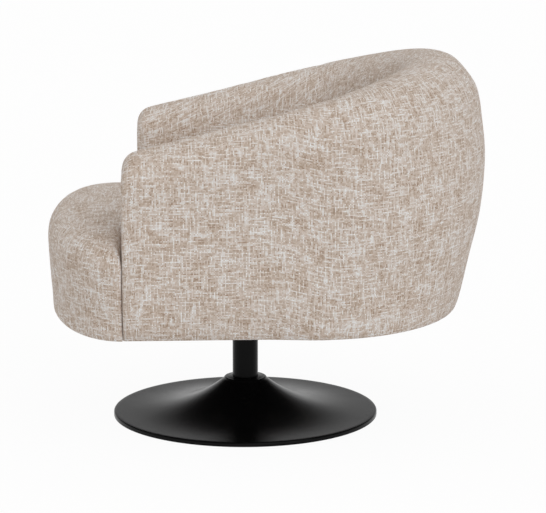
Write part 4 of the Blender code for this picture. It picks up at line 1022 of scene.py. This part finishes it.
def satin_black():
    """Powder-coated steel: a fine pebble in the gloss with faint handling marks."""
    n = Finish("satin_black_steel", "satin_black_powder_coat")
    place = n.place()
    cloud = n.noise(place, 18.0, 3.0, 0.6)
    share = n.line(cloud, 0.5, 0.75)
    n.set(base_color=n.blend(share, (0.0, 0.0, 0.0, 1.0), (0.00375, 0.00375, 0.003875, 1.0)),
          roughness=n.around(0.24, cloud, 0.12), specular_ior_level=0.085)
    n.bump(n.noise(place, 900.0, 2.0, 0.6), 0.00010, 0.25)


def bright_steel():
    """Turned steel with fine rings round the axis."""
    n = Finish("bright_steel", "bright_steel_turned")
    place = n.place()
    x, y, z = n.split(place)
    radius = n.math("SQRT", n.math("ADD", n.times(x, x), n.times(y, y)))
    rings = n.noise(n.add("CombineXYZ", {0: radius, 1: z}), 2600.0, 2.0, 0.6)
    stain = n.noise(place, 40.0, 3.0)
    n.set(base_color=n.ramp(stain, (0.3, 196, 197, 199), (0.7, 222, 222, 224)),
          metallic=1.0, roughness=n.line(rings, 0.16, 0.22))
    n.bump(rings, 0.00004, 0.5)


def nylon():
    n = Finish("natural_nylon", "natural_nylon_moulded")
    place = n.place()
    cloud = n.noise(place, 60.0, 3.0)
    n.set(base_color=n.ramp(cloud, (0.3, 226, 222, 208), (0.7, 238, 235, 224)),
          roughness=n.line(cloud, 0.15, 0.36),
          subsurface_weight=0.15, subsurface_radius=(0.004, 0.004, 0.003))
    n.bump(n.noise(place, 1500.0, 1.0), 0.00005, 0.3)


def wood(slot, name, pale, dark, stretch, layers):
    """Grain along the longest way, with pores and, on plywood, the plies of its edges."""
    n = Finish(slot, name)
    place = n.place()
    along = n.add("Mapping", {"Vector": place, "Scale": stretch})
    rings = n.add("TexWave", {"Vector": along, "Scale": 14.0, "Distortion": 6.0, "Detail": 3.0,
                              "Detail Scale": 1.6}, output=1)
    pores = n.noise(along, 260.0, 2.0, 0.7)
    tone = n.line(rings, 0.45, n.times(n.noise(along, 5.0, 3.0, 0.6), 0.5))
    colour = n.ramp(n.around(tone, pores, 0.25), (0.15, *dark), (0.8, *pale))
    if layers:
        level = n.math("GREATER_THAN", n.split(n.add("NewGeometry", output="Normal"))[2], 0.7)
        ply = n.add("TexWave", {"Vector": place, "Scale": 90.0, "Distortion": 0.6}, output=1)
        share = n.times(level, n.times(ply, 0.5))
        colour = n.blend(share, colour, (*linear(*dark), 1.0))
    n.set(base_color=colour, roughness=n.line(pores, 0.2, 0.5))
    n.bump(pores, 0.0002, 0.4)


def foam():
    n = Finish("upholstery_foam", "upholstery_foam_cells")
    place = n.place()
    cells = n.add("TexVoronoi", {"Vector": place, "Scale": 900.0})
    n.set(base_color=n.ramp(n.noise(place, 12.0, 3.0), (0.3, 236, 228, 200), (0.7, 244, 238, 218)),
          roughness=n.line(cells, 0.1, 0.86))
    n.bump(cells, 0.0005, 0.6)


def cambric():
    """Non-woven black dust cloth: a dimpled grid and loose fibres."""
    n = Finish("black_cambric", "black_cambric_cloth")
    place = n.place()
    dimples = n.add("TexVoronoi", {"Vector": place, "Scale": 420.0})
    fibres = n.noise(n.add("Mapping", {"Vector": place, "Scale": (1.0, 6.0, 1.0)}), 160.0, 4.0, 0.7)
    tone = n.line(dimples, 0.35, n.times(fibres, 0.6))
    n.set(base_color=n.ramp(tone, (0.2, 18, 18, 19), (0.75, 52, 51, 52)),
          roughness=n.line(fibres, 0.1, 0.82), sheen_weight=0.1)
    n.bump(tone, 0.0003, 0.6)


def felt():
    n = Finish("grey_felt", "grey_felt_pad")
    fibres = n.noise(n.place(), 700.0, 4.0, 0.8)
    n.set(base_color=n.ramp(fibres, (0.3, 78, 78, 80), (0.7, 126, 126, 127)),
          roughness=n.line(fibres, 0.06, 0.9), sheen_weight=0.3)
    n.bump(fibres, 0.0006, 0.8)


for finish in (tweed, foam, cambric, satin_black, bright_steel, nylon, felt):
    finish()
wood("bent_plywood", "birch_plywood", (222, 193, 150), (176, 138, 96), (1.0, 1.0, 7.0), True)
wood("frame_timber", "frame_timber_sawn", (219, 188, 144), (168, 128, 86), (1.0, 6.0, 6.0), False)
for item in (tub, seat):
    item.data.materials.append(finishes["beige_tweed"])
cover.data.materials.append(finishes["satin_black_steel"])
for item in nodes.values():
    for holder in item.material_slots:
        holder.material = finishes[holder.material.name.split(".")[0]]


# Floor, light and camera

WHITE = (1.0, 1.0, 1.0, 1.0)
FLOOR_REACH, FLOOR_Z, FLOOR_GLOW = 60.0, -0.0006, 0.95
FLOOR_COLOUR = (0.9, 0.9, 0.9, 1.0)
AMBIENT = 0.60
BAND_FROM, BAND_TO, BAND_LOW, BAND_HIGH = 0.13, 0.42, 1.0, 0.12


def floor():
    """Pale floor that glows white where it is seen or reflected, but for a faint shadow."""
    mesh = bpy.data.meshes.new("studio_floor")
    corners = [(x * FLOOR_REACH, y * FLOOR_REACH, FLOOR_Z) for x, y in ((-1, -1), (1, -1), (1, 1), (-1, 1))]
    mesh.from_pydata(corners, [], [(0, 1, 2, 3)])
    material = bpy.data.materials.new("pale_floor")
    n = Nodes(material)
    seen, reflected = n.seen()
    share = n.times(n.math("MAXIMUM", seen, reflected), FLOOR_GLOW)
    lit = n.add("BsdfDiffuse", {"Color": FLOOR_COLOUR})
    glow = n.add("Emission", {"Color": WHITE})
    n.end("OutputMaterial", n.add("MixShader", {0: share, 1: lit, 2: glow}))
    mesh.materials.append(material)
    item = add_object("studio_floor", mesh)


def world():
    """Even light, white where it is seen. Reflections find it bright low down and dark above."""
    made = bpy.data.worlds.new("studio")
    bpy.context.scene.world = made
    n = Nodes(made)
    seen, reflected = n.seen()
    height = n.split(n.add("TexCoord", output="Generated"))[2]
    band = n.add("MapRange", {0: height, 1: BAND_FROM, 2: BAND_TO, 3: BAND_LOW, 4: BAND_HIGH},
                 interpolation_type="SMOOTHSTEP")
    strength = n.between(seen, n.between(reflected, AMBIENT, band), 1.0)
    n.end("OutputWorld", n.add("Background", {0: WHITE, 1: strength}))


def sun(name, azimuth, elevation, strength, softness, colour=(1.0, 1.0, 1.0)):
    """Soft sun from this side: azimuth from +X towards +Y, in degrees."""
    a, e = math.radians(azimuth), math.radians(elevation)
    toward = Vector((math.cos(e) * math.cos(a), math.cos(e) * math.sin(a), math.sin(e)))
    lamp = bpy.data.lights.new(name, "SUN")
    lamp.energy = strength
    lamp.color = colour
    lamp.angle = math.radians(softness)
    add_object(name, lamp).rotation_euler = toward.to_track_quat("Z", "Y").to_euler()


floor()
world()
sun("key", 34.0, 34.0, 0.87, 50.0)
sun("fill", -70.0, 50.0, 0.34, 60.0, (1.0, 0.94, 0.87))

# The photo's camera, in metres, degrees and, for its focal length, pixels
CAMERA_DISTANCE, CAMERA_HEIGHT = 4.4064, 1.1694
PITCH, YAW, AZIMUTH = 10.9667, -0.7114, -0.0473
FOCAL_PIXELS, PHOTO_WIDTH, SENSOR, FAR = 2291.7, 546, 36.0, 200.0


def camera():
    made = bpy.data.cameras.new("camera")
    made.sensor_width = SENSOR
    made.lens = FOCAL_PIXELS / PHOTO_WIDTH * SENSOR
    made.clip_end = FAR
    item = add_object("camera", made)
    a, h, p = math.radians(AZIMUTH), math.radians(AZIMUTH + 180 + YAW), math.radians(PITCH)
    item.location = (CAMERA_DISTANCE * math.cos(a), CAMERA_DISTANCE * math.sin(a), CAMERA_HEIGHT)
    look = Vector((math.cos(h) * math.cos(p), math.sin(h) * math.cos(p), -math.sin(p)))
    item.rotation_euler = look.to_track_quat("-Z", "Y").to_euler()
    bpy.context.scene.camera = item


camera()
bpy.context.scene.view_settings.view_transform = "Standard"
